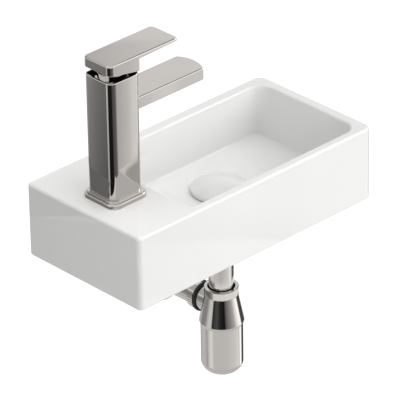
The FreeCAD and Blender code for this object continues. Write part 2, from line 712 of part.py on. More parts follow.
def make_cartridge_nut():
    """Threaded ring that clamps the cartridge down on its seat."""
    shoulder = SHOULDER_Z - SHOULDER_GAP
    bore = CARRIER_R + RUNNING + NECK_WALL + FIT
    nut = ring(NUT_R, bore, SHOULDER_Z, POCKET_Z, TAP_X, MID_Y)
    return nut.fuse(ring(CARTRIDGE_R, bore, shoulder, SHOULDER_Z, TAP_X, MID_Y))


def make_lever_carrier():
    """Turning core of the cartridge, slotted for the stem and drilled for its pin."""
    top = POCKET_Z - CARRIER_DROP
    core = post(CARRIER_R, CARRIER_Z, top, TAP_X, MID_Y)
    reach = STEM_SIZE / 2 + STEM_SLOT_SWING
    side = STEM_SIZE / 2 + FIT
    core = core.cut(block(TAP_X - reach, TAP_X + reach, MID_Y - side, MID_Y + side, CARRIER_Z, top))
    half = PIVOT_PIN_L / 2
    return core.cut(rod_y(PIVOT_PIN_R + RUNNING, MID_Y - half, MID_Y + half, TAP_X, PIVOT_Z))


def make_pivot_pin():
    """Steel pin the stem rocks on."""
    half = PIVOT_PIN_L / 2
    return rod_y(PIVOT_PIN_R, MID_Y - half, MID_Y + half, TAP_X, PIVOT_Z)


def make_lever_stem():
    """Square stem with a round tip in the moving disc and an eye for the pivot pin."""
    half = STEM_SIZE / 2
    shank_low = PIVOT_Z - STEM_SHANK_DROP
    shank_top = LEVER_TOP_Z - LEVER_PLATE_T - LOOSE
    stem = block(TAP_X - half, TAP_X + half, MID_Y - half, MID_Y + half, shank_low, shank_top)
    stem = stem.fuse(post(STEM_NECK_R, STEM_TIP_Z, shank_low, TAP_X, MID_Y))
    stem = stem.fuse(Part.makeSphere(STEM_TIP_R, Vector(TAP_X, MID_Y, STEM_TIP_Z)))
    return stem.cut(rod_y(PIVOT_PIN_R + RUNNING, MID_Y - half, MID_Y + half, TAP_X, PIVOT_Z))


def make_tap_cover_ring():
    """Chrome collar over the cartridge nut, seen in the gap under the lever."""
    top = POCKET_Z + COVER_HEIGHT
    inner = COVER_R - COVER_WALL
    foot = POCKET_Z + COVER_FOOT_H
    return turned([(inner, POCKET_Z, 0), (COVER_FOOT_R, POCKET_Z, 0), (COVER_FOOT_R, foot, 0), (COVER_R, foot, 0),
                   (COVER_R, top, COVER_EDGE_R), (inner, top, COVER_EDGE_R)], TAP_X, MID_Y)


def make_lever():
    """Lever: thin flat blade on a deep hollow head with a square socket."""
    half = LEVER_WIDTH / 2
    tip_x = LEVER_BACK_X + LEVER_LENGTH
    roof = LEVER_TOP_Z - LEVER_PLATE_T
    low = LEVER_TOP_Z - LEVER_HEAD_FRONT_T
    back_foot = LEVER_TOP_Z - LEVER_HEAD_BACK_T
    side = sharp([(LEVER_BACK_X, LEVER_TOP_Z), (tip_x, LEVER_TOP_Z), (tip_x, LEVER_TOP_Z - LEVER_TIP_T),
                  (LEVER_FRONT_X, roof), (LEVER_FRONT_X, low), (LEVER_BACK_X, back_foot)])
    face = Part.Face(rounded_corners(side))
    face.translate(Vector(0, MID_Y - half, 0))
    lever = face.extrude(BACKWARD * LEVER_WIDTH)
    plan = prism(LEVER_BACK_X, tip_x, MID_Y - half, MID_Y + half, LEVER_R, low, LEVER_TOP_Z)
    head_low_corners = prism(LEVER_BACK_X, LEVER_FRONT_X, MID_Y - half, MID_Y + half, LEVER_HEAD_R, low, roof)
    blade = block(LEVER_BACK_X, tip_x, MID_Y - half, MID_Y + half, roof, LEVER_TOP_Z)
    lever = lever.common(plan).common(head_low_corners.fuse(blade)).removeSplitter()
    lever = soften(lever, LEVER_EDGE_R, level(LEVER_TOP_Z))
    fall = (LEVER_HEAD_FRONT_T - LEVER_HEAD_BACK_T) / (LEVER_FRONT_X - LEVER_BACK_X)
    lever = soften(lever, LEVER_FOOT_R, lambda p: abs(p.z - back_foot + fall * (p.x - LEVER_BACK_X)) < TOUCH)
    inner_half = half - LEVER_WALL
    hollow = prism(LEVER_BACK_X + LEVER_WALL, LEVER_FRONT_X - LEVER_WALL,
                   MID_Y - inner_half, MID_Y + inner_half, LEVER_R - LEVER_WALL, low, roof)
    lever = lever.cut(hollow)
    s = SOCKET_SIZE / 2
    socket = block(TAP_X - s, TAP_X + s, MID_Y - s, MID_Y + s, roof - SOCKET_HEIGHT, roof)
    lever = lever.fuse(socket)
    hole = STEM_SIZE / 2 + FIT
    stem_way = block(TAP_X - hole, TAP_X + hole, MID_Y - hole, MID_Y + hole, roof - SOCKET_HEIGHT, roof)
    lever = lever.cut(stem_way)
    lever = lever.cut(rod_x(GRUB_R + THREAD_GAP, TAP_X, TAP_X + s, MID_Y, GRUB_Z))
    return lever.cut(rod_x(PLUG_HOLE_R + FIT, TAP_X + s, LEVER_FRONT_X, MID_Y, GRUB_Z))


def make_lever_grub_screw():
    """Socket screw that clamps the lever on its stem."""
    start = TAP_X + STEM_SIZE / 2
    screw = rod_x(GRUB_R, start, start + GRUB_LENGTH, MID_Y, GRUB_Z)
    key = hexagon(GRUB_R, 0, GRUB_LENGTH / 2, 0, 0)
    key.rotate(Vector(0, 0, 0), BACKWARD, 90)
    key.translate(Vector(start + GRUB_LENGTH / 2, MID_Y, GRUB_Z))
    return screw.cut(key)


def make_indicator_plug():
    """Small plug that closes the grub screw's hole in the lever's front."""
    start = LEVER_FRONT_X - LEVER_WALL
    end = LEVER_FRONT_X + INDICATOR_PROUD
    plug = rod_x(PLUG_HOLE_R, start, end, MID_Y, GRUB_Z)
    return plug.makeFillet(INDICATOR_EDGE_R, [e for e in plug.Edges if abs(e.BoundBox.XMin - end) < TOUCH])


def make_fixing_stud():
    """Threaded stud from the body's lug down through the ledge."""
    top = BODY_FOOT_Z + STUD_IN_LUG
    return post(STUD_R, top - STUD_LENGTH, top, TAP_X + STUD_FORWARD, MID_Y)


def horseshoe(z0, z1):
    """Open-mouthed plate that goes round the hoses and over the stud."""
    plate = post(SHOE_R, z0, z1, TAP_X, MID_Y)
    mouth_x = TAP_X - SHOE_MOUTH_BACK
    mouth = post(SHOE_MOUTH_R, z0, z1, mouth_x, MID_Y)
    way = block(TAP_X - SHOE_R, mouth_x, MID_Y - SHOE_MOUTH_R, MID_Y + SHOE_MOUTH_R, z0, z1)
    return plate.cut(mouth.fuse(way)).cut(post(STUD_R + FIT, z0, z1, TAP_X + STUD_FORWARD, MID_Y))


def make_horseshoe_gasket():
    """Rubber horseshoe against the ledge's underside."""
    return horseshoe(LEDGE_UNDER_Z - SHOE_GASKET_H, LEDGE_UNDER_Z)


def make_horseshoe_washer():
    """Steel horseshoe that spreads the nut's pull."""
    top = LEDGE_UNDER_Z - SHOE_GASKET_H
    return horseshoe(top - SHOE_H, top)


def make_fixing_nut():
    """Long nut on the stud."""
    top = LEDGE_UNDER_Z - SHOE_GASKET_H - SHOE_H
    return hex_nut(FIX_NUT_FLATS, STUD_R + THREAD_GAP, top - FIX_NUT_H, top, TAP_X + STUD_FORWARD, MID_Y)


def make_waste_top_seal():
    """Rubber ring between the drain seat and the waste's flange."""
    return ring(WASTE_TOP_SEAL_R, WASTE_TAIL_R + LOOSE, SEAT_Z, WASTE_FLANGE_Z, DRAIN_X, MID_Y)


def make_waste_body():
    """Flanged and threaded waste with a spoked hub for the click barrel."""
    bore = WASTE_TAIL_R - WASTE_TAIL_WALL
    body = turned([(bore, WASTE_END_Z, 0), (WASTE_TAIL_R, WASTE_END_Z, 0), (WASTE_TAIL_R, WASTE_FLANGE_Z, 0),
                   (WASTE_FLANGE_R, WASTE_FLANGE_Z, 0), (WASTE_FLANGE_R, WASTE_TOP_Z, WASTE_FLANGE_EDGE_R),
                   (bore, WASTE_TOP_Z, WASTE_MOUTH_R)], DRAIN_X, MID_Y)
    hub = post(BARREL_R + BARREL_WALL, SPOKE_Z - SPOKE_HEIGHT, SPOKE_Z, DRAIN_X, MID_Y)
    for i in range(SPOKES):
        spoke = block(0, bore + WASTE_TAIL_WALL / 2, -SPOKE_WIDTH / 2, SPOKE_WIDTH / 2,
                      SPOKE_Z - SPOKE_HEIGHT, SPOKE_Z)
        spoke.rotate(Vector(0, 0, 0), UP, 90 + 360 / SPOKES * i)
        spoke.translate(Vector(DRAIN_X, MID_Y, 0))
        hub = hub.fuse(spoke)
    body = body.fuse(hub)
    return body.cut(post(BARREL_R + THREAD_GAP, SPOKE_Z - SPOKE_HEIGHT, SPOKE_Z, DRAIN_X, MID_Y))


def make_waste_bottom_seal():
    """Thick rubber ring under the bowl."""
    return ring(WASTE_LOW_SEAL_R, WASTE_TAIL_R + FIT, RECESS_Z - WASTE_LOW_SEAL_H, RECESS_Z, DRAIN_X, MID_Y)


def make_waste_back_nut():
    """Nut that pulls the waste down."""
    top = RECESS_Z - WASTE_LOW_SEAL_H
    return hex_nut(BACK_NUT_FLATS, WASTE_TAIL_R + THREAD_GAP, top - BACK_NUT_H, top, DRAIN_X, MID_Y)


def make_click_barrel():
    """Plastic barrel that holds the plunger and its spring."""
    inner = BARREL_R - BARREL_WALL
    roof = BARREL_TOP_Z - BARREL_ROOF
    floor = BARREL_LOW_Z + BARREL_ROOF
    hole = PLUNGER_ROD_R + RUNNING
    return turned(sharp([(0, BARREL_LOW_Z), (BARREL_R, BARREL_LOW_Z), (BARREL_R, BARREL_TOP_Z),
                         (hole, BARREL_TOP_Z), (hole, roof), (inner, roof), (inner, floor), (0, floor)]),
                  DRAIN_X, MID_Y)


def make_plug_plunger():
    """Rod with a piston in the barrel and a round foot under the cap."""
    piston = BARREL_R - BARREL_WALL - RUNNING
    root_z = CAP_UNDER_Z - PLUNGER_ROOT_H
    return turned(sharp([(0, PLUNGER_LOW_Z), (piston, PLUNGER_LOW_Z), (piston, PLUNGER_TOP_Z),
                         (PLUNGER_ROD_R, PLUNGER_TOP_Z), (PLUNGER_ROD_R, root_z), (PLUNGER_ROOT_R, root_z),
                         (PLUNGER_ROOT_R, CAP_UNDER_Z), (0, CAP_UNDER_Z)]), DRAIN_X, MID_Y)


def make_plug_cap():
    """Domed ceramic cap with a short skirt round the waste's flange."""
    skirt = CAP_R - CAP_SKIRT_WALL
    crown_z = CAP_UNDER_Z + CAP_CROWN
    bulge = (CAP_R ** 2 + CAP_CROWN ** 2) / (2 * CAP_CROWN)
    middle_r = CAP_R / 2
    middle_z = crown_z - bulge + math.sqrt(bulge ** 2 - middle_r ** 2)
    points = [Vector(0, 0, CAP_UNDER_Z), Vector(skirt, 0, CAP_UNDER_Z), Vector(skirt, 0, CAP_FOOT_Z),
              Vector(CAP_R, 0, CAP_FOOT_Z), Vector(CAP_R, 0, CAP_UNDER_Z)]
    edges = [Part.makeLine(points[i], points[i + 1]) for i in range(len(points) - 1)]
    edges.append(Part.Arc(points[-1], Vector(middle_r, 0, middle_z), Vector(0, 0, crown_z)).toShape())
    edges.append(Part.makeLine(Vector(0, 0, crown_z), points[0]))
    cap = Part.Face(Part.Wire(edges)).revolve(Vector(0, 0, 0), UP, 360)
    rims = [e for e in cap.Edges if abs(e.BoundBox.XMax - CAP_R) < TOUCH and e.BoundBox.ZLength < TOUCH]
    cap = cap.makeFillet(CAP_EDGE_R, rims)
    cap.translate(Vector(DRAIN_X, MID_Y, 0))
    return cap


def make_plug_seal():
    """Rubber ring under the cap that closes on the waste's flange."""
    return ring(PLUG_SEAL_R, PLUG_SEAL_R - PLUG_SEAL_WIDTH, WASTE_TOP_Z, CAP_UNDER_Z, DRAIN_X, MID_Y)


def make_plug_spring():
    """Compression spring in the barrel, swept along joined arcs."""
    low = BARREL_LOW_Z + BARREL_ROOF + SPRING_WIRE_R + FIT
    high = PLUNGER_LOW_Z - SPRING_WIRE_R - FIT
    pitch = (high - low) / SPRING_TURNS
    steps = 4 * SPRING_TURNS
    rise = pitch / (2 * math.pi)

    def point(turn):
        return Vector(SPRING_COIL_R * math.cos(turn), SPRING_COIL_R * math.sin(turn), low + rise * turn)

    def heading(turn):
        way = Vector(-SPRING_COIL_R * math.sin(turn), SPRING_COIL_R * math.cos(turn), rise)
        return way.normalize()

    edges = []
    for i in range(steps):
        start = math.pi / 2 * i
        end = start + math.pi / 2
        edges.extend(biarc(point(start), heading(start), point(end), heading(end)))
    path = Part.Wire(edges)
    section = Part.Wire(Part.makeCircle(SPRING_WIRE_R, point(0), heading(0)))
    spring = path.makePipeShell([section], True, False)
    print("spring: least gap between turns %.2f mm" % (pitch - 2 * SPRING_WIRE_R))
    spring.translate(Vector(DRAIN_X, MID_Y, 0))
    return spring


def biarc(p0, t0, p1, t1):
    """Two arcs that join p0 to p1 with the given headings and share a heading where they meet."""
    v = p1 - p0
    lean = t0 + t1
    a = 2 * (1 - t0.dot(t1))
    b = 2 * v.dot(lean)
    d = (-b + math.sqrt(b * b + 4 * a * v.dot(v))) / (2 * a)
    joint = (p0 + p1 + (t0 - t1) * d) * 0.5
    return [arc_from(p0, t0, joint), arc_from(p1, -t1, joint)]


def arc_from(start, heading, end):
    """Arc from start along a heading to end."""
    chord = end - start
    normal = heading.cross(chord).cross(heading)
    normal.normalize()
    r = chord.dot(chord) / (2 * chord.dot(normal))
    centre = start + normal * r
    outward = (start + end) * 0.5 - centre
    outward.normalize()
    return Part.Arc(start, centre + outward * r, end).toShape()


def make_trap_inlet_washer():
    """Rubber washer between the waste's tail and the trap tube."""
    return ring(WASTE_TAIL_R, TUBE_R - TUBE_WALL, TUBE_TOP_Z, WASTE_END_Z, DRAIN_X, MID_Y)


def make_trap_tube():
    """Flanged tube from the waste down into the cup."""
    flange_z = TUBE_TOP_Z - TUBE_FLANGE_H
    bore = TUBE_R - TUBE_WALL
    return turned(sharp([(bore, TUBE_LOW_Z), (TUBE_R, TUBE_LOW_Z), (TUBE_R, flange_z),
                         (WASTE_TAIL_R, flange_z), (WASTE_TAIL_R, TUBE_TOP_Z), (bore, TUBE_TOP_Z)]),
                  DRAIN_X, MID_Y)


def make_trap_inlet_nut():
    """Union nut that pulls the tube's flange up to the waste."""
    lip_top = TUBE_TOP_Z - TUBE_FLANGE_H
    thread = WASTE_TAIL_R + THREAD_GAP
    hole = TUBE_R + FIT
    low = lip_top - INLET_NUT_LIP
    top = WASTE_END_Z + INLET_NUT_GRIP
    return turned([(hole, low, 0), (INLET_NUT_R, low, INLET_NUT_EDGE_R), (INLET_NUT_R, top, INLET_NUT_EDGE_R),
                   (thread, top, 0), (thread, lip_top, 0), (hole, lip_top, 0)], DRAIN_X, MID_Y)


def make_trap_neck_nut():
    """Ring nut that squeezes the neck seal round the tube."""
    thread = TUBE_R + FIT + NECK_COLLAR_WALL + THREAD_GAP
    roof = NECK_NUT_Z - NECK_NUT_LIP
    mouth = TUBE_R + NECK_NUT_MOUTH
    hole = TUBE_R + FIT
    return turned([(thread, CONE_TOP_Z, 0), (NECK_NUT_R, CONE_TOP_Z, NECK_NUT_EDGE_R),
                   (NECK_NUT_R, NECK_NUT_Z, NECK_NUT_EDGE_R),
                   (mouth, NECK_NUT_Z, 0), (hole, NECK_NUT_Z - NECK_NUT_MOUTH, 0), (hole, roof, 0),
                   (thread, roof, 0)], DRAIN_X, MID_Y)


def make_trap_neck_seal():
    """Rubber ring round the tube, under the neck nut's lip."""
    roof = NECK_NUT_Z - NECK_NUT_LIP
    return ring(TUBE_R + FIT + NECK_COLLAR_WALL, TUBE_R, roof - NECK_SEAL_H, roof, DRAIN_X, MID_Y)


def cone_r(z):
    """The trap body's outer radius at a height on its cone."""
    return CONE_TOP_R + (CONE_R - CONE_TOP_R) * (CONE_TOP_Z - z) / CONE_HEIGHT


def make_trap_body():
    """Cone-shaped body with a threaded neck, a cup thread in its skirt and the outlet stub."""
    collar = TUBE_R + FIT + NECK_COLLAR_WALL
    collar_top = NECK_NUT_Z - NECK_NUT_LIP - NECK_SEAL_H
    thread = CUP_NECK_R + THREAD_GAP
    foot = CUP_R + FIT
    shell = [(collar, CONE_TOP_Z, 0), (CONE_TOP_R, CONE_TOP_Z, CONE_TOP_EDGE_R),
             (CONE_R, CONE_LOW_Z, CONE_FOOT_R), (foot, CUP_TOP_Z, 0)]
    neck = [(0, collar_top, 0), (collar, collar_top, 0)]
    solid = turned(neck + shell + [(0, CUP_TOP_Z, 0)], DRAIN_X, MID_Y)
    solid = solid.fuse(rod_y(STUB_R, MID_Y, STUB_END_Y, DRAIN_X, OUTLET_Z))
    roof_z = CONE_TOP_Z - TRAP_WALL
    chamber_r = CUP_NECK_R - CUP_WALL
    chamber = turned(sharp([(0, roof_z), (cone_r(roof_z) - TRAP_WALL, roof_z), (chamber_r, CUP_SHELF_Z),
                            (0, CUP_SHELF_Z)]), DRAIN_X, MID_Y)
    solid = solid.cut(chamber)
    solid = solid.cut(post(TUBE_R + FIT, roof_z, collar_top, DRAIN_X, MID_Y))
    solid = solid.cut(post(thread, CUP_TOP_Z, CUP_SHELF_Z, DRAIN_X, MID_Y))
    solid = solid.cut(rod_y(STUB_BORE_R, MID_Y, STUB_END_Y, DRAIN_X, OUTLET_Z))
    return solid.cut(rod_y(TUBE_R + FIT, PIPE_START_Y, STUB_END_Y, DRAIN_X, OUTLET_Z))


def make_trap_cup():
    """Screw-on cup with a threaded neck and a rounded bottom."""
    inner = CUP_NECK_R - CUP_WALL
    floor = CUP_LOW_Z + CUP_WALL
    return turned([(0, CUP_LOW_Z, 0), (CUP_R, CUP_LOW_Z, CUP_BOTTOM_R), (CUP_R, CUP_TOP_Z, 0),
                   (CUP_NECK_R, CUP_TOP_Z, 0), (CUP_NECK_R, CUP_NECK_Z, 0), (inner, CUP_NECK_Z, 0),
                   (inner, floor, CUP_BOTTOM_R - CUP_WALL), (0, floor, 0)], DRAIN_X, MID_Y)


def make_trap_cup_seal():
    """Flat rubber ring on the cup's neck."""
    return ring(CUP_NECK_R, CUP_NECK_R - CUP_WALL, CUP_NECK_Z, CUP_SHELF_Z, DRAIN_X, MID_Y)


def make_outlet_seal():
    """Rubber ring between the outlet stub and its nut, round the pipe."""
    end = STUB_END_Y + OUTLET_SEAL_L
    return turned_along_y(sharp([(TUBE_R, STUB_END_Y), (STUB_R, STUB_END_Y), (STUB_R, end), (TUBE_R, end)]),
                          DRAIN_X, OUTLET_Z)


def make_outlet_ring():
    """Black rubber ring on the outlet stub, against the nut's front edge."""
    start = OUTLET_NUT_Y - OUTLET_RING_LENGTH
    return turned_along_y([(STUB_R, start, 0), (OUTLET_RING_R, start, OUTLET_RING_EDGE_R),
                           (OUTLET_RING_R, OUTLET_NUT_Y, OUTLET_RING_EDGE_R), (STUB_R, OUTLET_NUT_Y, 0)],
                          DRAIN_X, OUTLET_Z)


def make_outlet_nut():
    """Slip nut that joins the outlet pipe to the trap."""
    end = OUTLET_NUT_Y + OUTLET_NUT_LENGTH
    roof = STUB_END_Y + OUTLET_SEAL_L
    thread = STUB_R + THREAD_GAP
    hole = TUBE_R + FIT
    return turned_along_y([(thread, OUTLET_NUT_Y, 0), (OUTLET_NUT_R, OUTLET_NUT_Y, OUTLET_NUT_EDGE_R),
                           (OUTLET_NUT_R, end, OUTLET_NUT_EDGE_R), (hole, end, 0), (hole, roof, 0),
                           (thread, roof, 0)], DRAIN_X, OUTLET_Z)


def make_outlet_pipe():
    """Pipe from the trap to the wall, drawn down a little where it enters the wall's socket."""
    bore = TUBE_R - TUBE_WALL
    swage = TUBE_R - SPIGOT_END_R
    return turned_along_y(sharp([(bore, PIPE_START_Y), (TUBE_R, PIPE_START_Y), (TUBE_R, -swage),
                                 (SPIGOT_END_R, 0), (SPIGOT_END_R, SPIGOT_END_LENGTH),
                                 (bore - swage, SPIGOT_END_LENGTH), (bore - swage, 0), (bore, -swage)]),
                          DRAIN_X, OUTLET_Z)


def make_wall_rosette():
    """Thin domed cover round the pipe at the wall."""
    hole = TUBE_R + FIT
    front = -ROSETTE_DEPTH
    inner = ROSETTE_R - ROSETTE_WALL
    back = front + 2 * ROSETTE_WALL
    return turned_along_y([(hole, front, 0), (ROSETTE_COLLAR_R, front, ROSETTE_FRONT_R),
                           (ROSETTE_R, -ROSETTE_WALL, ROSETTE_RIM_R), (ROSETTE_R, 0, 0), (inner, 0, 0),
                           (ROSETTE_COLLAR_R, back, 0), (hole, back, 0)], DRAIN_X, OUTLET_Z)


PIECES = {
    "basin": make_basin,
    "tap_base_plate": make_tap_base_plate,
    "tap_base_gasket": make_tap_base_gasket,
    "tap_body": make_tap_body,
    "tap_spout": make_tap_spout,
    "aerator_housing": make_aerator_housing,
    "aerator_insert": make_aerator_insert,
    "aerator_washer": make_aerator_washer,
    "cartridge_seal": make_cartridge_seal,
    "cartridge_base": make_cartridge_base,
    "fixed_disc": make_fixed_disc,
    "moving_disc": make_moving_disc,
    "cartridge_housing": make_cartridge_housing,
    "cartridge_nut": make_cartridge_nut,
    "lever_carrier": make_lever_carrier,
    "pivot_pin": make_pivot_pin,
    "lever_stem": make_lever_stem,
    "tap_cover_ring": make_tap_cover_ring,
    "lever": make_lever,
    "lever_grub_screw": make_lever_grub_screw,
    "indicator_plug": make_indicator_plug,
    "fixing_stud": make_fixing_stud,
    "horseshoe_gasket": make_horseshoe_gasket,
    "horseshoe_washer": make_horseshoe_washer,
    "fixing_nut": make_fixing_nut,
    "waste_top_seal": make_waste_top_seal,
    "waste_body": make_waste_body,
    "waste_bottom_seal": make_waste_bottom_seal,
    "waste_back_nut": make_waste_back_nut,
    "click_barrel": make_click_barrel,
    "plug_plunger": make_plug_plunger,
    "plug_cap": make_plug_cap,
    "plug_seal": make_plug_seal,
    "plug_spring": make_plug_spring,
    "trap_inlet_washer": make_trap_inlet_washer,
    "trap_tube": make_trap_tube,
    "trap_inlet_nut": make_trap_inlet_nut,
    "trap_neck_nut": make_trap_neck_nut,
    "trap_neck_seal": make_trap_neck_seal,
    "trap_body": make_trap_body,
    "trap_cup": make_trap_cup,
    "trap_cup_seal": make_trap_cup_seal,
    "outlet_seal": make_outlet_seal,
    "outlet_ring": make_outlet_ring,
    "outlet_nut": make_outlet_nut,
    "outlet_pipe": make_outlet_pipe,
    "wall_rosette": make_wall_rosette,
}

os.makedirs("parts", exist_ok=True)
for node, make in PIECES.items():
    shape = make()
    volume = shape.Volume / 1000
    print("%s: %d solid(s), valid %s, %.1f cm3" % (node, len(shape.Solids), shape.isValid(), volume))
    shape.exportStep("parts/%s.step" % node)
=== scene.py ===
"""Finishes, fine forms and studio for a wall-hung hand basin with its mixer tap, click waste and trap.

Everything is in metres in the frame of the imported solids: +X right, +Y to the wall, +Z up.
"""

from __future__ import annotations

import json
import logging
import math
from dataclasses import asdict, dataclass, field
from enum import Enum
from itertools import pairwise

import bpy
from mathutils import Matrix, Vector

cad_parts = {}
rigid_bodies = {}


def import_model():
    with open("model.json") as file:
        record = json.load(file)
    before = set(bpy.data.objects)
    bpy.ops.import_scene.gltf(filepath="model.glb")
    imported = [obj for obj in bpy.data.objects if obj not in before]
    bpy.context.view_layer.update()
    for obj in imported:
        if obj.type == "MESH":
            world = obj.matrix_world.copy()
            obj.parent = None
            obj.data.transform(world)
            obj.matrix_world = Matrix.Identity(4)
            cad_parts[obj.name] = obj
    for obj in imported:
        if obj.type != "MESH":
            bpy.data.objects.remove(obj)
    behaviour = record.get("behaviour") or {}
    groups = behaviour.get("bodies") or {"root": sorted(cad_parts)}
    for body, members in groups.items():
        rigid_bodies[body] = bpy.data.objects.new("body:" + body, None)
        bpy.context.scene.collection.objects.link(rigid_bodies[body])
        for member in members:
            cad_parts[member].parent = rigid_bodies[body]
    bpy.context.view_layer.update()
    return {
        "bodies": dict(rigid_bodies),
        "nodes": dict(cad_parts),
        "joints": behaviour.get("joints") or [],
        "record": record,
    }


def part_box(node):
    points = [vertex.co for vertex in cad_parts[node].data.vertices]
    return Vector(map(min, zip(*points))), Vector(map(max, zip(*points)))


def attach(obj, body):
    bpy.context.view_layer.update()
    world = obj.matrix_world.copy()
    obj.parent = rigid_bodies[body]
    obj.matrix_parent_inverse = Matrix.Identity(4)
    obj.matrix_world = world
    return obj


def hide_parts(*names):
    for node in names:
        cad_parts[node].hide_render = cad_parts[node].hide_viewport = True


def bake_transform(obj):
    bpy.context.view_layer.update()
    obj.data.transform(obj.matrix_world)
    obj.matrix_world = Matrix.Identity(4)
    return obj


Point = tuple[float, float, float]
Section = list[tuple[float, float]]
Socket = bpy.types.NodeSocket
Tree = bpy.types.NodeTree

MM = 0.001
UP = (0.0, 0.0, 1.0)
LEFT = (-1.0, 0.0, 0.0)
RIGHT = (1.0, 0.0, 0.0)
FRONT = (0.0, -1.0, 0.0)
WHITE = (1.0, 1.0, 1.0, 1.0)
MERGE_M = 1e-6

# How far a cutter stands past what it cuts, and a radius that bounds nothing
CUT_OVER = 1.0 * MM
NO_ROUND = 1.0

# Finer layers in each kind of noise, and the greys between which a smudge spreads
PLAIN_LAYERS = 2.0
GRAIN_LAYERS = 3.0
SMUDGE_LAYERS = 4.0
SMUDGE_GREYS = (0.3, 0.7)

log = logging.getLogger("basin")


class Carving(Enum):
    """How a tool mesh changes the piece that it meets."""

    JOIN = "UNION"
    CUT = "DIFFERENCE"
    TRIM = "INTERSECT"


# Node and colour helpers

def linear(hex_colour: str) -> tuple[float, float, float, float]:
    """Turn an sRGB hex colour into linear light.

    Args:
        hex_colour: a colour such as "#F2F1EE".

    Returns:
        Red, green and blue in linear light, and a full alpha.
    """
    channels = [int(hex_colour[i:i + 2], 16) / 255 for i in (1, 3, 5)]
    red, green, blue = [c / 12.92 if c <= 0.04045 else ((c + 0.055) / 1.055) ** 2.4 for c in channels]
    return (red, green, blue, 1.0)


def scale_for(size_mm: float) -> float:
    """Texture scale at which a pattern's features are about size_mm wide on Object coordinates."""
    return 1.0 / (size_mm * MM)


def add(tree: Tree, kind: str, sockets: dict | None = None, **settings: object) -> bpy.types.Node:
    """Add a node with its settings and links.

    Args:
        tree: the node tree that gets the node.
        kind: Blender's name for the node's type.
        sockets: input by name or number; a value is set on it, and another node's output is linked to it.
        settings: properties of the node itself.

    Returns:
        The new node.
    """
    node = tree.nodes.new(kind)
    for name, value in settings.items():
        setattr(node, name, value)
    for name, value in (sockets or {}).items():
        if isinstance(value, Socket):
            tree.links.new(value, node.inputs[name])
        else:
            node.inputs[name].default_value = value
    return node


def blank_material(name: str) -> bpy.types.Material:
    """Make a material with an empty node tree.

    Args:
        name: what the material is called.

    Returns:
        The material.
    """
    material = bpy.data.materials.new(name)
    material.use_nodes = True
    material.node_tree.nodes.clear()
    return material


# Finishes

@dataclass(frozen=True)
class Finish:
    """A surface with a drifting colour, uneven gloss and a fine relief.

    Widths in millimetres are those of the features that each pattern draws. The gloss is the roughness where
    the surface is cleanest and where it is most smudged.
    """

    name: str
    colour: str
    drift: str
    gloss: tuple[float, float]
    drift_mm: float
    smudge_mm: float
    relief_mm: float
    relief_depth_mm: float
    metallic: float = 0.0
    ior: float = 1.5
    stretch: Point = (1.0, 1.0, 1.0)

    def material(self) -> bpy.types.Material:
        """Give the finish's material, made the first time that it is asked for.

        Returns:
            The material, named for the finish.
        """
        found = bpy.data.materials.get(self.name)
        if found:
            return found
        material = blank_material(self.name)
        tree = material.node_tree
        place = add(tree, "ShaderNodeTexCoord").outputs["Object"]
        colour, roughness, height = self.surface(tree, place)
        bump = add(tree, "ShaderNodeBump",
                   {"Strength": 1.0, "Distance": self.relief_depth_mm * MM, "Height": height})
        shader = add(tree, "ShaderNodeBsdfPrincipled",
                     {"Base Color": colour, "Metallic": self.metallic, "Roughness": roughness,
                      "IOR": self.ior, "Normal": bump.outputs["Normal"]})
        add(tree, "ShaderNodeOutputMaterial", {"Surface": shader.outputs["BSDF"]})
        return material

    def surface(self, tree: Tree, place: Socket) -> tuple[Socket, Socket, Socket]:
        """Add the patterns of the finish.

        Args:
            tree: the material's node tree.
            place: Object coordinates.

        Returns:
            The sockets that give colour, roughness and height.
        """
        drawn = add(tree, "ShaderNodeMapping", {"Vector": place, "Scale": self.stretch}).outputs["Vector"]
        drift, smudge, relief = [
            add(tree, "ShaderNodeTexNoise",
                {"Vector": drawn, "Scale": scale_for(width), "Detail": layers}).outputs["Fac"]
            for width, layers in ((self.drift_mm, PLAIN_LAYERS), (self.smudge_mm, SMUDGE_LAYERS),
                                  (self.relief_mm, PLAIN_LAYERS))]
        colour = add(tree, "ShaderNodeMix", {0: drift, 6: linear(self.colour), 7: linear(self.drift)},
                     data_type="RGBA").outputs[2]
        roughness = add(tree, "ShaderNodeMapRange",
                        {"Value": smudge, "From Min": SMUDGE_GREYS[0], "From Max": SMUDGE_GREYS[1],
                         "To Min": self.gloss[0], "To Max": self.gloss[1]}).outputs["Result"]
        return colour, roughness, relief


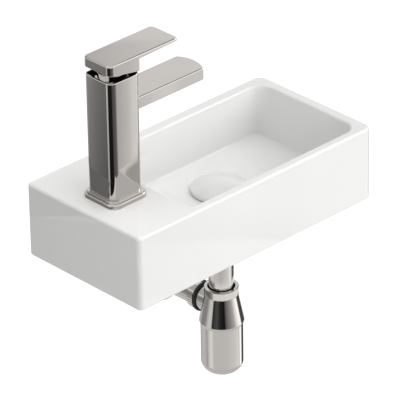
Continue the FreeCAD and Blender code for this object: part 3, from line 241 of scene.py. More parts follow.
@dataclass(frozen=True)
class GlazedChina(Finish):
    """Fired clay under a clear white glaze, bare where the kiln shelf or the wall touched it.

    The glaze ends between two depths in front of the wall, on a wandering line, and where a face looks down.
    """

    bisque: str = "#D3CABC"
    bisque_grain_mm: float = 0.9
    bisque_gloss: float = 0.85
    glaze_line_mm: tuple[float, float] = (-1.6, -0.5)
    wander_mm: float = 0.6
    wander_width_mm: float = 6.0
    down_facing: tuple[float, float] = (-0.55, -0.8)

    def surface(self, tree: Tree, place: Socket) -> tuple[Socket, Socket, Socket]:
        """Add the glaze, then bare clay on the wall face and underneath.

        Args:
            tree: the material's node tree.
            place: Object coordinates.

        Returns:
            The sockets that give colour, roughness and height.
        """
        glaze, gloss, peel = super().surface(tree, place)
        depth = add(tree, "ShaderNodeSeparateXYZ", {"Vector": place}).outputs["Y"]
        wander, grain = [
            add(tree, "ShaderNodeTexNoise",
                {"Vector": place, "Scale": scale_for(width), "Detail": layers}).outputs["Fac"]
            for width, layers in ((self.wander_width_mm, PLAIN_LAYERS), (self.bisque_grain_mm, GRAIN_LAYERS))]
        edge = add(tree, "ShaderNodeMath", {0: wander, 1: self.wander_mm * MM, 2: depth},
                   operation="MULTIPLY_ADD").outputs[0]
        wall = add(tree, "ShaderNodeMapRange",
                   {"Value": edge, "From Min": self.glaze_line_mm[0] * MM,
                    "From Max": self.glaze_line_mm[1] * MM}).outputs["Result"]
        facing = add(tree, "ShaderNodeNewGeometry").outputs["Normal"]
        tilt = add(tree, "ShaderNodeSeparateXYZ", {"Vector": facing}).outputs["Z"]
        below = add(tree, "ShaderNodeMapRange",
                    {"Value": tilt, "From Min": self.down_facing[0],
                     "From Max": self.down_facing[1]}).outputs["Result"]
        bare = add(tree, "ShaderNodeMath", {0: wall, 1: below}, operation="MAXIMUM").outputs[0]
        clay = add(tree, "ShaderNodeMix", {0: grain, 6: linear(self.bisque), 7: linear(self.drift)},
                   data_type="RGBA").outputs[2]
        colour = add(tree, "ShaderNodeMix", {0: bare, 6: glaze, 7: clay}, data_type="RGBA").outputs[2]
        roughness = add(tree, "ShaderNodeMix", {0: bare, 2: gloss, 3: self.bisque_gloss}).outputs[0]
        height = add(tree, "ShaderNodeMix", {0: bare, 2: peel, 3: grain}).outputs[0]
        return colour, roughness, height


@dataclass(frozen=True)
class PlatedCasting(Finish):
    """Plated outside, and dull dark metal in a hollow: raw metal that the polishing wheel does not reach,
    made darker than bare metal as painted shade.

    The hollow is a box, cut by a round of radius round_r about its upright axis.
    """

    centre: Point = (0.0, 0.0, 0.0)
    half: Point = (0.0, 0.0, 0.0)
    round_r: float = NO_ROUND
    # Colour of the hollow: raw metal, darkened further as painted shade.
    raw_and_shade: str = "#35322E"
    raw_gloss: float = 0.55

    def surface(self, tree: Tree, place: Socket) -> tuple[Socket, Socket, Socket]:
        """Add the plating, then the raw hollow with its painted shade.

        Args:
            tree: the material's node tree.
            place: Object coordinates.

        Returns:
            The sockets that give colour, roughness and height.
        """
        plated, gloss, height = super().surface(tree, place)
        centred = add(tree, "ShaderNodeVectorMath", {0: place, 1: self.centre},
                      operation="SUBTRACT").outputs[0]
        reach = add(tree, "ShaderNodeVectorMath", {0: centred}, operation="ABSOLUTE").outputs[0]
        over = add(tree, "ShaderNodeVectorMath", {0: reach, 1: self.half}, operation="SUBTRACT").outputs[0]
        plan = add(tree, "ShaderNodeVectorMath", {0: centred, 1: (1.0, 1.0, 0.0)},
                   operation="MULTIPLY").outputs[0]
        radius = add(tree, "ShaderNodeVectorMath", {0: plan}, operation="LENGTH").outputs["Value"]
        past = add(tree, "ShaderNodeMath", {0: radius, 1: self.round_r}, operation="SUBTRACT").outputs[0]
        for axis in add(tree, "ShaderNodeSeparateXYZ", {"Vector": over}).outputs:
            past = add(tree, "ShaderNodeMath", {0: past, 1: axis}, operation="MAXIMUM").outputs[0]
        # Painted shade: inside the hollow the surface takes the dark raw colour.
        inside = add(tree, "ShaderNodeMath", {0: past, 1: 0.0}, operation="LESS_THAN").outputs[0]
        colour = add(tree, "ShaderNodeMix", {0: inside, 6: plated, 7: linear(self.raw_and_shade)},
                     data_type="RGBA").outputs[2]
        roughness = add(tree, "ShaderNodeMix", {0: inside, 2: gloss, 3: self.raw_gloss}).outputs[0]
        return colour, roughness, height


@dataclass(frozen=True)
class TurnedMetal(Finish):
    """Bare metal from the lathe, with tool marks that run round an upright axis."""

    axis: tuple[float, float] = (0.0, 0.0)
    mark_mm: float = 0.5
    mark_gloss: float = 0.25

    def surface(self, tree: Tree, place: Socket) -> tuple[Socket, Socket, Socket]:
        """Add the plain patterns, then the marks round the axis.

        Args:
            tree: the material's node tree.
            place: Object coordinates.

        Returns:
            The sockets that give colour, roughness and height.
        """
        colour, gloss, _ = super().surface(tree, place)
        centred = add(tree, "ShaderNodeMapping",
                      {"Vector": place, "Location": (-self.axis[0], -self.axis[1], 0.0)}).outputs["Vector"]
        axes = add(tree, "ShaderNodeSeparateXYZ", {"Vector": centred}).outputs
        flat = add(tree, "ShaderNodeCombineXYZ", {"X": axes["X"], "Y": axes["Y"]}).outputs["Vector"]
        radius = add(tree, "ShaderNodeVectorMath", {0: flat}, operation="LENGTH").outputs["Value"]
        section = add(tree, "ShaderNodeCombineXYZ", {"X": radius, "Y": axes["Z"]}).outputs["Vector"]
        marks = add(tree, "ShaderNodeTexNoise", {"Vector": section, "Scale": scale_for(self.mark_mm),
                                                 "Detail": GRAIN_LAYERS}).outputs["Fac"]
        roughness = add(tree, "ShaderNodeMath", {0: marks, 1: self.mark_gloss, 2: gloss},
                        operation="MULTIPLY_ADD").outputs[0]
        return colour, roughness, marks


@dataclass(frozen=True)
class HotColdPlastic(Finish):
    """Moulded plastic in two colours that meet on an upright line."""

    other: str = "#2F5FA8"
    split_y: float = 0.0

    def surface(self, tree: Tree, place: Socket) -> tuple[Socket, Socket, Socket]:
        """Add the plain patterns, then the second colour past the line.

        Args:
            tree: the material's node tree.
            place: Object coordinates.

        Returns:
            The sockets that give colour, roughness and height.
        """
        hot, roughness, height = super().surface(tree, place)
        depth = add(tree, "ShaderNodeSeparateXYZ", {"Vector": place}).outputs["Y"]
        past = add(tree, "ShaderNodeMath", {0: depth, 1: self.split_y}, operation="LESS_THAN").outputs[0]
        colour = add(tree, "ShaderNodeMix", {0: past, 6: hot, 7: linear(self.other)},
                     data_type="RGBA").outputs[2]
        return colour, roughness, height


# A glaze is glass: a sharp reflection over a white body, with the faint waviness of a melted skin.
CHINA = GlazedChina("glazed_vitreous_china", "#EDEDEC", "#E9E9E7", gloss=(0.02, 0.05), drift_mm=90.0,
                    smudge_mm=40.0, relief_mm=7.0, relief_depth_mm=0.006)
# Plated and polished brass: a grey mirror with a slightly warm tint and the odd wiped smear.
CHROME = Finish("chromed_brass", "#C8C4C0", "#C2BEBA", gloss=(0.03, 0.075), drift_mm=60.0,
                smudge_mm=22.0, relief_mm=9.0, relief_depth_mm=0.002, metallic=1.0)
# Thin plate straight from the press: rolled streaks and a dull shine.
STEEL = Finish("zinc_plated_steel", "#B4B6B8", "#9DA0A3", gloss=(0.28, 0.45), drift_mm=5.0,
               smudge_mm=3.0, relief_mm=0.8, relief_depth_mm=0.006, metallic=1.0, stretch=(0.15, 1.0, 1.0))
# Drawn wire: bright, with marks along its length.
WIRE = Finish("drawn_stainless_wire", "#B9B9B7", "#A9A8A5", gloss=(0.18, 0.32), drift_mm=2.0,
              smudge_mm=1.5, relief_mm=0.4, relief_depth_mm=0.002, metallic=1.0)
# Moulded seals: near black, matt, with a bloom of grey.
RUBBER = Finish("moulded_epdm_rubber", "#1C1C1D", "#2B2B2C", gloss=(0.6, 0.8), drift_mm=8.0,
                smudge_mm=5.0, relief_mm=0.6, relief_depth_mm=0.01, ior=1.52)
# Moulded white plastic: a soft even sheen.
WHITE_PLASTIC = Finish("moulded_acetal", "#E9E8E3", "#DFDDD6", gloss=(0.28, 0.4), drift_mm=14.0,
                       smudge_mm=6.0, relief_mm=0.8, relief_depth_mm=0.004, ior=1.48)
# Glass-filled plastic: dark grey with pale flow streaks.
GREY_PLASTIC = Finish("glass_filled_polypropylene", "#5B5D61", "#6E7074", gloss=(0.4, 0.55), drift_mm=3.0,
                      smudge_mm=4.0, relief_mm=0.5, relief_depth_mm=0.008, ior=1.49)
# Sintered and lapped discs: ivory and almost a mirror.
ALUMINA = Finish("lapped_alumina", "#EAE6DC", "#E3DED2", gloss=(0.08, 0.14), drift_mm=6.0,
                 smudge_mm=5.0, relief_mm=0.4, relief_depth_mm=0.001, ior=1.76)


def turned_brass(name: str, axis: Vector) -> TurnedMetal:
    """Bare brass turned about an upright axis: yellow, with bright rings of tool marks.

    Args:
        name: what the material is called.
        axis: a point on the axis.

    Returns:
        The finish.
    """
    return TurnedMetal(name, "#C9A35E", "#BE9752", gloss=(0.16, 0.24), drift_mm=12.0, smudge_mm=8.0,
                       relief_mm=1.0, relief_depth_mm=0.004, metallic=1.0, axis=(axis.x, axis.y))


def hot_cold_plastic(split_y: float) -> HotColdPlastic:
    """Two-shot plastic, red behind a line and blue in front of it, with a moulded shine."""
    return HotColdPlastic("two_shot_abs", "#C2352E", "#B92F2A", gloss=(0.18, 0.26), drift_mm=4.0,
                          smudge_mm=2.0, relief_mm=0.5, relief_depth_mm=0.002, split_y=split_y)


def plated_with_shaded_hollow(node: str, centre: Point, half: Point, round_r: float) -> PlatedCasting:
    """Chromed brass that is raw inside an upright hollow, and darkened there as painted shade.

    Args:
        node: the casting, which the material is named for.
        centre: middle of the hollow.
        half: half the hollow's size along each axis.
        round_r: how far from its upright axis the hollow reaches.

    Returns:
        The finish.
    """
    plating = asdict(CHROME) | {"name": f"{CHROME.name}_{node}"}
    return PlatedCasting(**plating, centre=centre, half=half, round_r=round_r)


# Mesh helpers

def middle(node: str) -> Vector:
    """Give the middle of a solid's box."""
    low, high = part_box(node)
    return (low + high) / 2


def rest() -> None:
    """Leave edit mode and deselect everything, so that an operator meets only what is made next."""
    if bpy.context.object and bpy.context.object.mode != "OBJECT":
        bpy.ops.object.mode_set(mode="OBJECT")
    bpy.ops.object.select_all(action="DESELECT")


def pick(piece: bpy.types.Object) -> None:
    """Make one object the only selected and active one.

    Args:
        piece: the object.
    """
    rest()
    piece.select_set(True)
    bpy.context.view_layer.objects.active = piece


def outline(name: str, points: Section) -> bpy.types.Object:
    """Draw half a section by extruding one point from place to place.

    Args:
        name: what the object is called.
        points: radius and height of each corner, in order.

    Returns:
        The object, in edit mode, standing on the world's upright axis.
    """
    rest()
    bpy.ops.mesh.primitive_plane_add(size=MM)
    piece = bpy.context.object
    piece.name = name
    bpy.ops.object.mode_set(mode="EDIT")
    bpy.ops.mesh.select_all(action="SELECT")
    bpy.ops.mesh.merge(type="CENTER")
    bpy.ops.transform.translate(value=(points[0][0], 0.0, points[0][1]))
    for (r0, z0), (r1, z1) in pairwise(points):
        bpy.ops.mesh.extrude_region_move(TRANSFORM_OT_translate={"value": (r1 - r0, 0.0, z1 - z0)})
    return piece


def tidy_mesh() -> None:
    """Merge doubled points of the mesh in edit mode and turn its faces outwards, as far as it is closed."""
    bpy.ops.mesh.select_all(action="SELECT")
    bpy.ops.mesh.remove_doubles(threshold=MERGE_M)
    bpy.ops.mesh.normals_make_consistent(inside=False)


def turned(name: str, points: Section, flats: int = 72) -> bpy.types.Object:
    """Turn a closed half section round the upright axis.

    Args:
        name: what the object is called.
        points: radius and height of each corner; the last one joins the first.
        flats: flats round the piece.

    Returns:
        The object, in object mode.
    """
    piece = outline(name, [*points, points[0]])
    bpy.ops.mesh.select_all(action="SELECT")
    bpy.ops.mesh.spin(steps=flats, angle=math.tau, center=(0.0, 0.0, 0.0), axis=UP)
    tidy_mesh()
    rest()
    return piece


def disc(name: str, radius: float, low: float, high: float, flats: int) -> bpy.types.Object:
    """Turn a plain disc.

    Args:
        name: what the object is called.
        radius: its radius.
        low: height of its foot.
        high: height of its top.
        flats: flats round it.

    Returns:
        The object, in object mode.
    """
    return turned(name, [(0.0, low), (radius, low), (radius, high), (0.0, high)], flats)


def block(size: Point, place: Point, turn: float) -> bpy.types.Object:
    """Make a box turned about the upright axis, to carve with.

    Args:
        size: its length, width and height.
        place: its middle.
        turn: its turn in radians.

    Returns:
        The box, in object mode.
    """
    rest()
    bpy.ops.mesh.primitive_cube_add(size=1.0, location=place, rotation=(0.0, 0.0, turn))
    piece = bpy.context.object
    piece.scale = size
    bpy.ops.object.transform_apply(location=True, rotation=True, scale=True)
    return piece


def carve(piece: bpy.types.Object, tool: bpy.types.Object, how: Carving) -> None:
    """Join, cut or trim a piece by another mesh, which is used up.

    Args:
        piece: the mesh that is changed.
        tool: the mesh that changes it.
        how: what the tool does.
    """
    pick(piece)
    modifier = piece.modifiers.new("carve", "BOOLEAN")
    modifier.operation = how.value
    modifier.solver = "EXACT"
    modifier.object = tool
    bpy.ops.object.modifier_apply(modifier=modifier.name)
    bpy.data.objects.remove(tool)


def settle(piece: bpy.types.Object, axis: Vector, smooth_deg: float = 35.0) -> None:
    """Move a piece made on the world's axis to its own axis, tidy it and shade it smooth.

    Args:
        piece: the mesh object.
        axis: a point on the piece's own upright axis.
        smooth_deg: edges sharper than this stay crisp.
    """
    pick(piece)
    piece.location = (axis.x, axis.y, 0.0)
    bpy.ops.object.transform_apply(location=True, rotation=True, scale=True)
    bpy.ops.object.mode_set(mode="EDIT")
    tidy_mesh()
    bpy.ops.object.mode_set(mode="OBJECT")
    bpy.ops.object.shade_smooth_by_angle(angle=math.radians(smooth_deg))
    rest()


def arc(r: float, z: float, radius: float, start_deg: float, steps: int = 5) -> Section:
    """Corner points of a quarter round in a half section.

    Args:
        r: radius at the round's centre.
        z: height of the round's centre.
        radius: the round's own radius.
        start_deg: where the quarter starts, 0 pointing outwards and 90 up; it runs anticlockwise.
        steps: number of straight runs.

    Returns:
        Radius and height of each point.
    """
    turns = [math.radians(start_deg + 90.0 * i / steps) for i in range(steps + 1)]
    return [(r + radius * math.cos(t), z + radius * math.sin(t)) for t in turns]


@dataclass(frozen=True)
class Thread:
    """An outside screw thread with flat crests and roots, whose widths are shares of the pitch."""

    crest_r: float
    depth: float
    pitch: float
    flats: int
    crest_flat: float = 0.12
    root_flat: float = 0.28
    spare_turns: int = 2
    blank_margin: float = 2.0 * MM

    def rod(self, name: str, low: float, high: float, chamfer: float) -> bpy.types.Object:
        """Make a threaded rod with chamfered ends on the world's axis.

        Args:
            name: what the object is called.
            low: height of its foot.
            high: height of its top.
            chamfer: how far the ends are taken in.

        Returns:
            The rod, in object mode.
        """
        crest_r, root_r = self.crest_r, self.crest_r - self.depth
        half_crest, half_root = self.crest_flat / 2, self.root_flat / 2
        shares = [(root_r, 0.0), (root_r, half_root), (crest_r, 0.5 - half_crest),
                  (crest_r, 0.5 + half_crest), (root_r, 1.0 - half_root), (root_r, 1.0)]
        start = low - self.pitch
        piece = outline(name, [(r, start + share * self.pitch) for r, share in shares])
        pick(piece)
        screw = piece.modifiers.new("thread", "SCREW")
        screw.screw_offset = self.pitch
        screw.iterations = math.ceil((high - low) / self.pitch) + self.spare_turns
        screw.steps = screw.render_steps = self.flats
        screw.use_merge_vertices = True
        screw.merge_threshold = MERGE_M
        bpy.ops.object.modifier_apply(modifier=screw.name)
        bpy.ops.object.mode_set(mode="EDIT")
        tidy_mesh()
        for height, behind in ((low, True), (high, False)):
            bpy.ops.mesh.select_all(action="SELECT")
            bpy.ops.mesh.bisect(plane_co=(0.0, 0.0, height), plane_no=UP, use_fill=True,
                                clear_inner=behind, clear_outer=not behind)
        tidy_mesh()
        rest()
        taken = crest_r - chamfer
        over = self.blank_margin
        full = crest_r + over
        blank = turned("blank", [(0.0, low), (taken, low), (full, low + chamfer + over),
                                 (full, high - chamfer - over), (taken, high), (0.0, high)], self.flats)
        carve(piece, blank, Carving.TRIM)
        return piece


# Sub-assemblies

@dataclass
class SubAssembly:
    """Solids that are dressed together, with the finer pieces that are made for them."""

    frame: dict
    finishes: dict[str, Finish] = field(default_factory=dict)

    def wear(self, finish: Finish, *nodes: str) -> None:
        """Note the finish that some solids take."""
        self.finishes |= dict.fromkeys(nodes, finish)

    def build(self) -> None:
        """Make the finer pieces; a plain group has none."""

    def dress(self) -> None:
        """Give each solid its finish."""
        for node, finish in self.finishes.items():
            self.frame["nodes"][node].material_slots[0].material = finish.material()
            log.info("dressed %s in %s", node, finish.name)

    def hand_over(self, piece: bpy.types.Object, node: str, finish: Finish) -> None:
        """Finish a new piece and let it stand for a solid.

        Args:
            piece: the new mesh.
            node: the solid that it replaces.
            finish: what it is made of.
        """
        piece.data.materials.clear()
        piece.data.materials.append(finish.material())
        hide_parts(node)
        log.info("built %s in place of %s", piece.name, node)


@dataclass
class Basin(SubAssembly):
    """The fired clay body."""

    def __post_init__(self) -> None:
        """List the finish."""
        self.wear(CHINA, "basin")


@dataclass
class Tap(SubAssembly):
    """The lever mixer: chromed outside, cartridge inside, aerator under the spout's end."""

    notches: int = 4
    notch_width: float = 2.4 * MM
    notch_depth: float = 0.9 * MM
    sleeve_wall: float = 2.0 * MM
    sleeve_lip: float = 1.0 * MM
    insert_height: float = 6.5 * MM
    edge_r: float = 0.6 * MM
    pocket_wall: float = 2.3 * MM
    pocket_r: float = 30.1 * MM
    lever_wall: float = 3.3 * MM
    lever_roof: float = 4.9 * MM

    def __post_init__(self) -> None:
        """List the finishes, with the brass turned about the tap's own axis."""
        brass = turned_brass("turned_cartridge_brass", middle("cartridge_nut"))
        self.wear(CHROME, "tap_base_plate", "tap_spout", "tap_cover_ring")
        # The body's pocket and the lever's hollow are raw metal with painted shade.
        self.wear(self.casting("tap_body", self.pocket_wall, -CUT_OVER, self.pocket_r), "tap_body")
        self.wear(self.casting("lever", self.lever_wall, self.lever_roof, NO_ROUND), "lever")
        self.wear(RUBBER, "tap_base_gasket", "aerator_washer", "cartridge_seal")
        self.wear(WHITE_PLASTIC, "aerator_insert", "cartridge_housing")
        self.wear(GREY_PLASTIC, "cartridge_base", "lever_carrier")
        self.wear(ALUMINA, "fixed_disc", "moving_disc")
        self.wear(brass, "cartridge_nut", "lever_stem")
        self.wear(STEEL, "pivot_pin", "lever_grub_screw")
        self.wear(hot_cold_plastic(middle("indicator_plug").y), "indicator_plug")

    def casting(self, node: str, wall: float, roof: float, round_r: float) -> PlatedCasting:
        """Give a chromed finish that is raw, with painted shade, inside a casting's walls, as far as the
        tap's body reaches.

        Args:
            node: the casting.
            wall: how thick its walls are.
            roof: how far the hollow's top lies below the casting's.
            round_r: how far from the axis its hollow's corners reach.

        Returns:
            The finish.
        """
        low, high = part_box(node)
        body_low, body_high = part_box("tap_body")
        left, right = max(low.x, body_low.x), min(high.x, body_high.x)
        half = ((right - left) / 2 - wall, (high.y - low.y) / 2 - wall, (high.z - low.z) / 2)
        centre = ((left + right) / 2, (low.y + high.y) / 2, (low.z + high.z) / 2 - roof)
        return plated_with_shaded_hollow(node, centre, half, round_r)

    def build(self) -> None:
        """Make the aerator's sleeve, with the key notches that its solid leaves out."""
        low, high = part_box("aerator_housing")
        outer = (high.x - low.x) / 2
        inner = outer - self.sleeve_wall
        lip = inner - self.sleeve_lip
        shelf = high.z - self.insert_height
        edge = self.edge_r
        section = [(lip, low.z), *arc(outer - edge, low.z + edge, edge, -90.0), (outer, high.z),
                   (inner, high.z), (inner, shelf), (lip, shelf)]
        sleeve = turned("aerator_sleeve", section)
        notch_pair = (4 * outer, self.notch_width, 2 * self.notch_depth)
        for i in range(self.notches // 2):
            cutter = block(notch_pair, (0.0, 0.0, low.z), math.tau * i / self.notches)
            carve(sleeve, cutter, Carving.CUT)
        settle(sleeve, middle("aerator_housing"))
        self.hand_over(sleeve, "aerator_housing", CHROME)
        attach(sleeve, "basin")


@dataclass
class TapFixings(SubAssembly):
    """What pulls the tap down on the ledge."""

    pitch: float = 1.0 * MM
    depth: float = 0.55 * MM
    chamfer: float = 0.6 * MM
    stud_flats: int = 32

    def __post_init__(self) -> None:
        """List the finishes, with the nut turned about the stud."""
        self.wear(RUBBER, "horseshoe_gasket")
        self.wear(STEEL, "horseshoe_washer")
        self.wear(turned_brass("turned_fixing_brass", middle("fixing_nut")), "fixing_nut")

    def build(self) -> None:
        """Make the threaded stud."""
        low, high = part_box("fixing_stud")
        thread = Thread((high.x - low.x) / 2, self.depth, self.pitch, self.stud_flats)
        stud = thread.rod("threaded_stud", low.z, high.z, self.chamfer)
        settle(stud, middle("fixing_stud"))
        self.hand_over(stud, "fixing_stud", STEEL)
        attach(stud, "basin")


@dataclass
class Waste(SubAssembly):
    """The click waste: flanged body, plug with its spring, seals and nut.

    A spoke runs into the tail's wall by spoke_bite of its thickness.
    """

    flange_height: float = 2.5 * MM
    flange_edge: float = 0.8 * MM
    flange_flats: int = 96
    mouth_r: float = 1.2 * MM
    tail_r: float = 20.9 * MM
    tail_wall: float = 2.6 * MM
    thread_depth: float = 1.3 * MM
    thread_pitch: float = 2.309 * MM
    thread_chamfer: float = 1.2 * MM
    thread_flats: int = 64
    spokes: int = 3
    spoke_width: float = 4.0 * MM
    spoke_height: float = 6.0 * MM
    spoke_bite: float = 1 / 3
    hub_drop: float = 8.0 * MM
    hub_wall: float = 2.0 * MM
    hub_flats: int = 64
    barrel_gap: float = 0.05 * MM
    spring_turns: int = 5
    dead_turns: int = 1
    dead_gap: float = 0.09 * MM
    wire_r: float = 0.45 * MM
    ring_sides: int = 12
    turn_steps: int = 24
    wire_smooth_deg: float = 60.0

    def __post_init__(self) -> None:
        """List the finishes, with the brass turned about the drain's axis."""
        brass = turned_brass("turned_waste_brass", middle("waste_back_nut"))
        self.wear(RUBBER, "waste_top_seal", "waste_bottom_seal", "plug_seal")
        self.wear(brass, "waste_back_nut", "plug_plunger")
        self.wear(WHITE_PLASTIC, "click_barrel")
        self.wear(CHINA, "plug_cap")

    def build(self) -> None:
        """Make the threaded waste and the coil spring."""
        self.build_body()
        self.build_spring()

    def build_body(self) -> None:
        """Make the waste: a threaded tail under a flange, bored out, with spokes that hold the barrel.

        The threaded rod's ends are not quite closed, so the bore's cut leaves the top of its cutter behind.
        """
        low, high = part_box("waste_body")
        flange_r = (high.x - low.x) / 2
        bore = self.tail_r - self.tail_wall
        under = high.z - self.flange_height
        thread = Thread(self.tail_r, self.thread_depth, self.thread_pitch, self.thread_flats)
        waste = thread.rod("threaded_waste", low.z, under, self.thread_chamfer)
        edge = self.flange_edge
        neck = self.tail_r - self.thread_depth / 2
        sunk = under - self.thread_pitch
        flange = turned("flange", [(0.0, sunk), (neck, sunk), (neck, under), (flange_r, under),
                                   *arc(flange_r - edge, high.z - edge, edge, 0.0), (0.0, high.z)],
                        self.flange_flats)
        carve(waste, flange, Carving.JOIN)
        mouth = self.mouth_r
        foot, top = low.z - CUT_OVER, high.z + CUT_OVER
        flare = reversed(arc(bore + mouth, high.z - mouth, mouth, 90.0))
        bore_tool = turned("bore", [(0.0, foot), (bore, foot), *flare, (bore + mouth, top), (0.0, top)],
                           self.flange_flats)
        carve(waste, bore_tool, Carving.CUT)
        carve(waste, self.hub(bore), Carving.JOIN)
        settle(waste, middle("waste_body"))
        self.hand_over(waste, "waste_body", CHROME)
        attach(waste, "basin")

    def hub(self, bore: float) -> bpy.types.Object:
        """Make the ring round the click barrel, with the spokes that hold it in the tail.

        Args:
            bore: radius of the tail's bore.

        Returns:
            The hub, on the world's axis.
        """
        low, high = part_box("click_barrel")
        barrel_r = (high.x - low.x) / 2
        top = high.z - self.hub_drop
        foot = top - self.spoke_height
        hub = disc("hub", barrel_r + self.hub_wall, foot, top, self.hub_flats)
        reach = bore + self.spoke_bite * self.tail_wall
        for i in range(self.spokes):
            turn = math.pi / 2 + math.tau * i / self.spokes
            place = (reach / 2 * math.cos(turn), reach / 2 * math.sin(turn), top - self.spoke_height / 2)
            carve(hub, block((reach, self.spoke_width, self.spoke_height), place, turn), Carving.JOIN)
        hole = disc("hole", barrel_r + self.barrel_gap, top - 2 * self.spoke_height, top + self.spoke_height,
                    self.hub_flats)
        carve(hub, hole, Carving.CUT)
        return hub

    def build_spring(self) -> None:
        """Make the plug's spring: close turns at both ends, open ones between, sweeping a ring round."""
        low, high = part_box("plug_spring")
        axis = middle("plug_spring")
        coil_r = (high.x - low.x) / 2 - self.wire_r
        close = 2 * self.wire_r + self.dead_gap
        rise = high.z - low.z - 2 * self.wire_r - 2 * self.dead_turns * close
        rest()
        bpy.ops.mesh.primitive_circle_add(vertices=self.ring_sides, radius=self.wire_r,
                                          location=(coil_r, 0.0, low.z + self.wire_r),
                                          rotation=(math.pi / 2, 0.0, 0.0))
        spring = bpy.context.object
        spring.name = "coil_spring"
        bpy.ops.object.transform_apply(location=True, rotation=True, scale=True)
        bpy.ops.object.mode_set(mode="EDIT")
        bpy.ops.mesh.select_all(action="SELECT")
        ends = [close] * self.dead_turns
        for climb in (*ends, *[rise / self.spring_turns] * self.spring_turns, *ends):
            for _ in range(self.turn_steps):
                bpy.ops.mesh.spin(steps=1, angle=math.tau / self.turn_steps, center=(0.0, 0.0, 0.0), axis=UP)
                bpy.ops.transform.translate(value=(0.0, 0.0, climb / self.turn_steps))
        bpy.ops.mesh.select_all(action="SELECT")
        bpy.ops.mesh.fill_holes(sides=0)
        settle(spring, axis, self.wire_smooth_deg)
        self.hand_over(spring, "plug_spring", WIRE)
        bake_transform(spring)


@dataclass
class Trap(SubAssembly):
    """The bottle trap from the waste's tail to the wall."""

    nut_rim: float = 4.1 * MM

    def __post_init__(self) -> None:
        """List the finishes, with painted shade in the neck nut's mouth inside its rim."""
        self.wear(CHROME, "trap_tube", "trap_inlet_nut", "trap_body", "trap_cup", "outlet_nut", "outlet_pipe",
                  "wall_rosette")
        self.wear(RUBBER, "trap_inlet_washer", "trap_neck_seal", "trap_cup_seal", "outlet_seal",
                  "outlet_ring")
        # Painted shade: the neck nut is dark inside its rim, in its mouth.
        low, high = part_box("trap_neck_nut")
        rim_r = (high.x - low.x) / 2 - self.nut_rim
        nut = plated_with_shaded_hollow("trap_neck_nut", tuple(middle("trap_neck_nut")), tuple(high - low), rim_r)
        self.wear(nut, "trap_neck_nut")


# Studio

def seen(tree: Tree) -> Socket:
    """Add a mask that is 1 for rays that show the surroundings, straight or in a mirror or glass.

    Args:
        tree: the node tree that gets the mask.

    Returns:
        The mask.
    """
    path = add(tree, "ShaderNodeLightPath").outputs
    mirrored = add(tree, "ShaderNodeMath", {0: path["Is Camera Ray"], 1: path["Is Glossy Ray"]},
                   operation="MAXIMUM").outputs[0]
    return add(tree, "ShaderNodeMath", {0: mirrored, 1: path["Is Transmission Ray"]},
               operation="MAXIMUM").outputs[0]


def one_sided(tree: Tree, front: Socket) -> None:
    """End a sheet's nodes so that it shows from its front and is clear from behind.

    Args:
        tree: the sheet's node tree.
        front: what its front shows.
    """
    clear = add(tree, "ShaderNodeBsdfTransparent").outputs["BSDF"]
    behind = add(tree, "ShaderNodeNewGeometry").outputs["Backfacing"]
    sheet = add(tree, "ShaderNodeMixShader", {0: behind, 1: front, 2: clear}).outputs["Shader"]
    add(tree, "ShaderNodeOutputMaterial", {"Surface": sheet})


def only_mirrors(screen: bpy.types.Object) -> None:
    """Keep a screen out of sight, light and shadow, so that it shows only in polished surfaces.

    Args:
        screen: the cloth or card.
    """
    screen.visible_camera = False
    screen.visible_diffuse = False
    screen.visible_transmission = False
    screen.visible_shadow = False
    log.info("hung %s", screen.name)


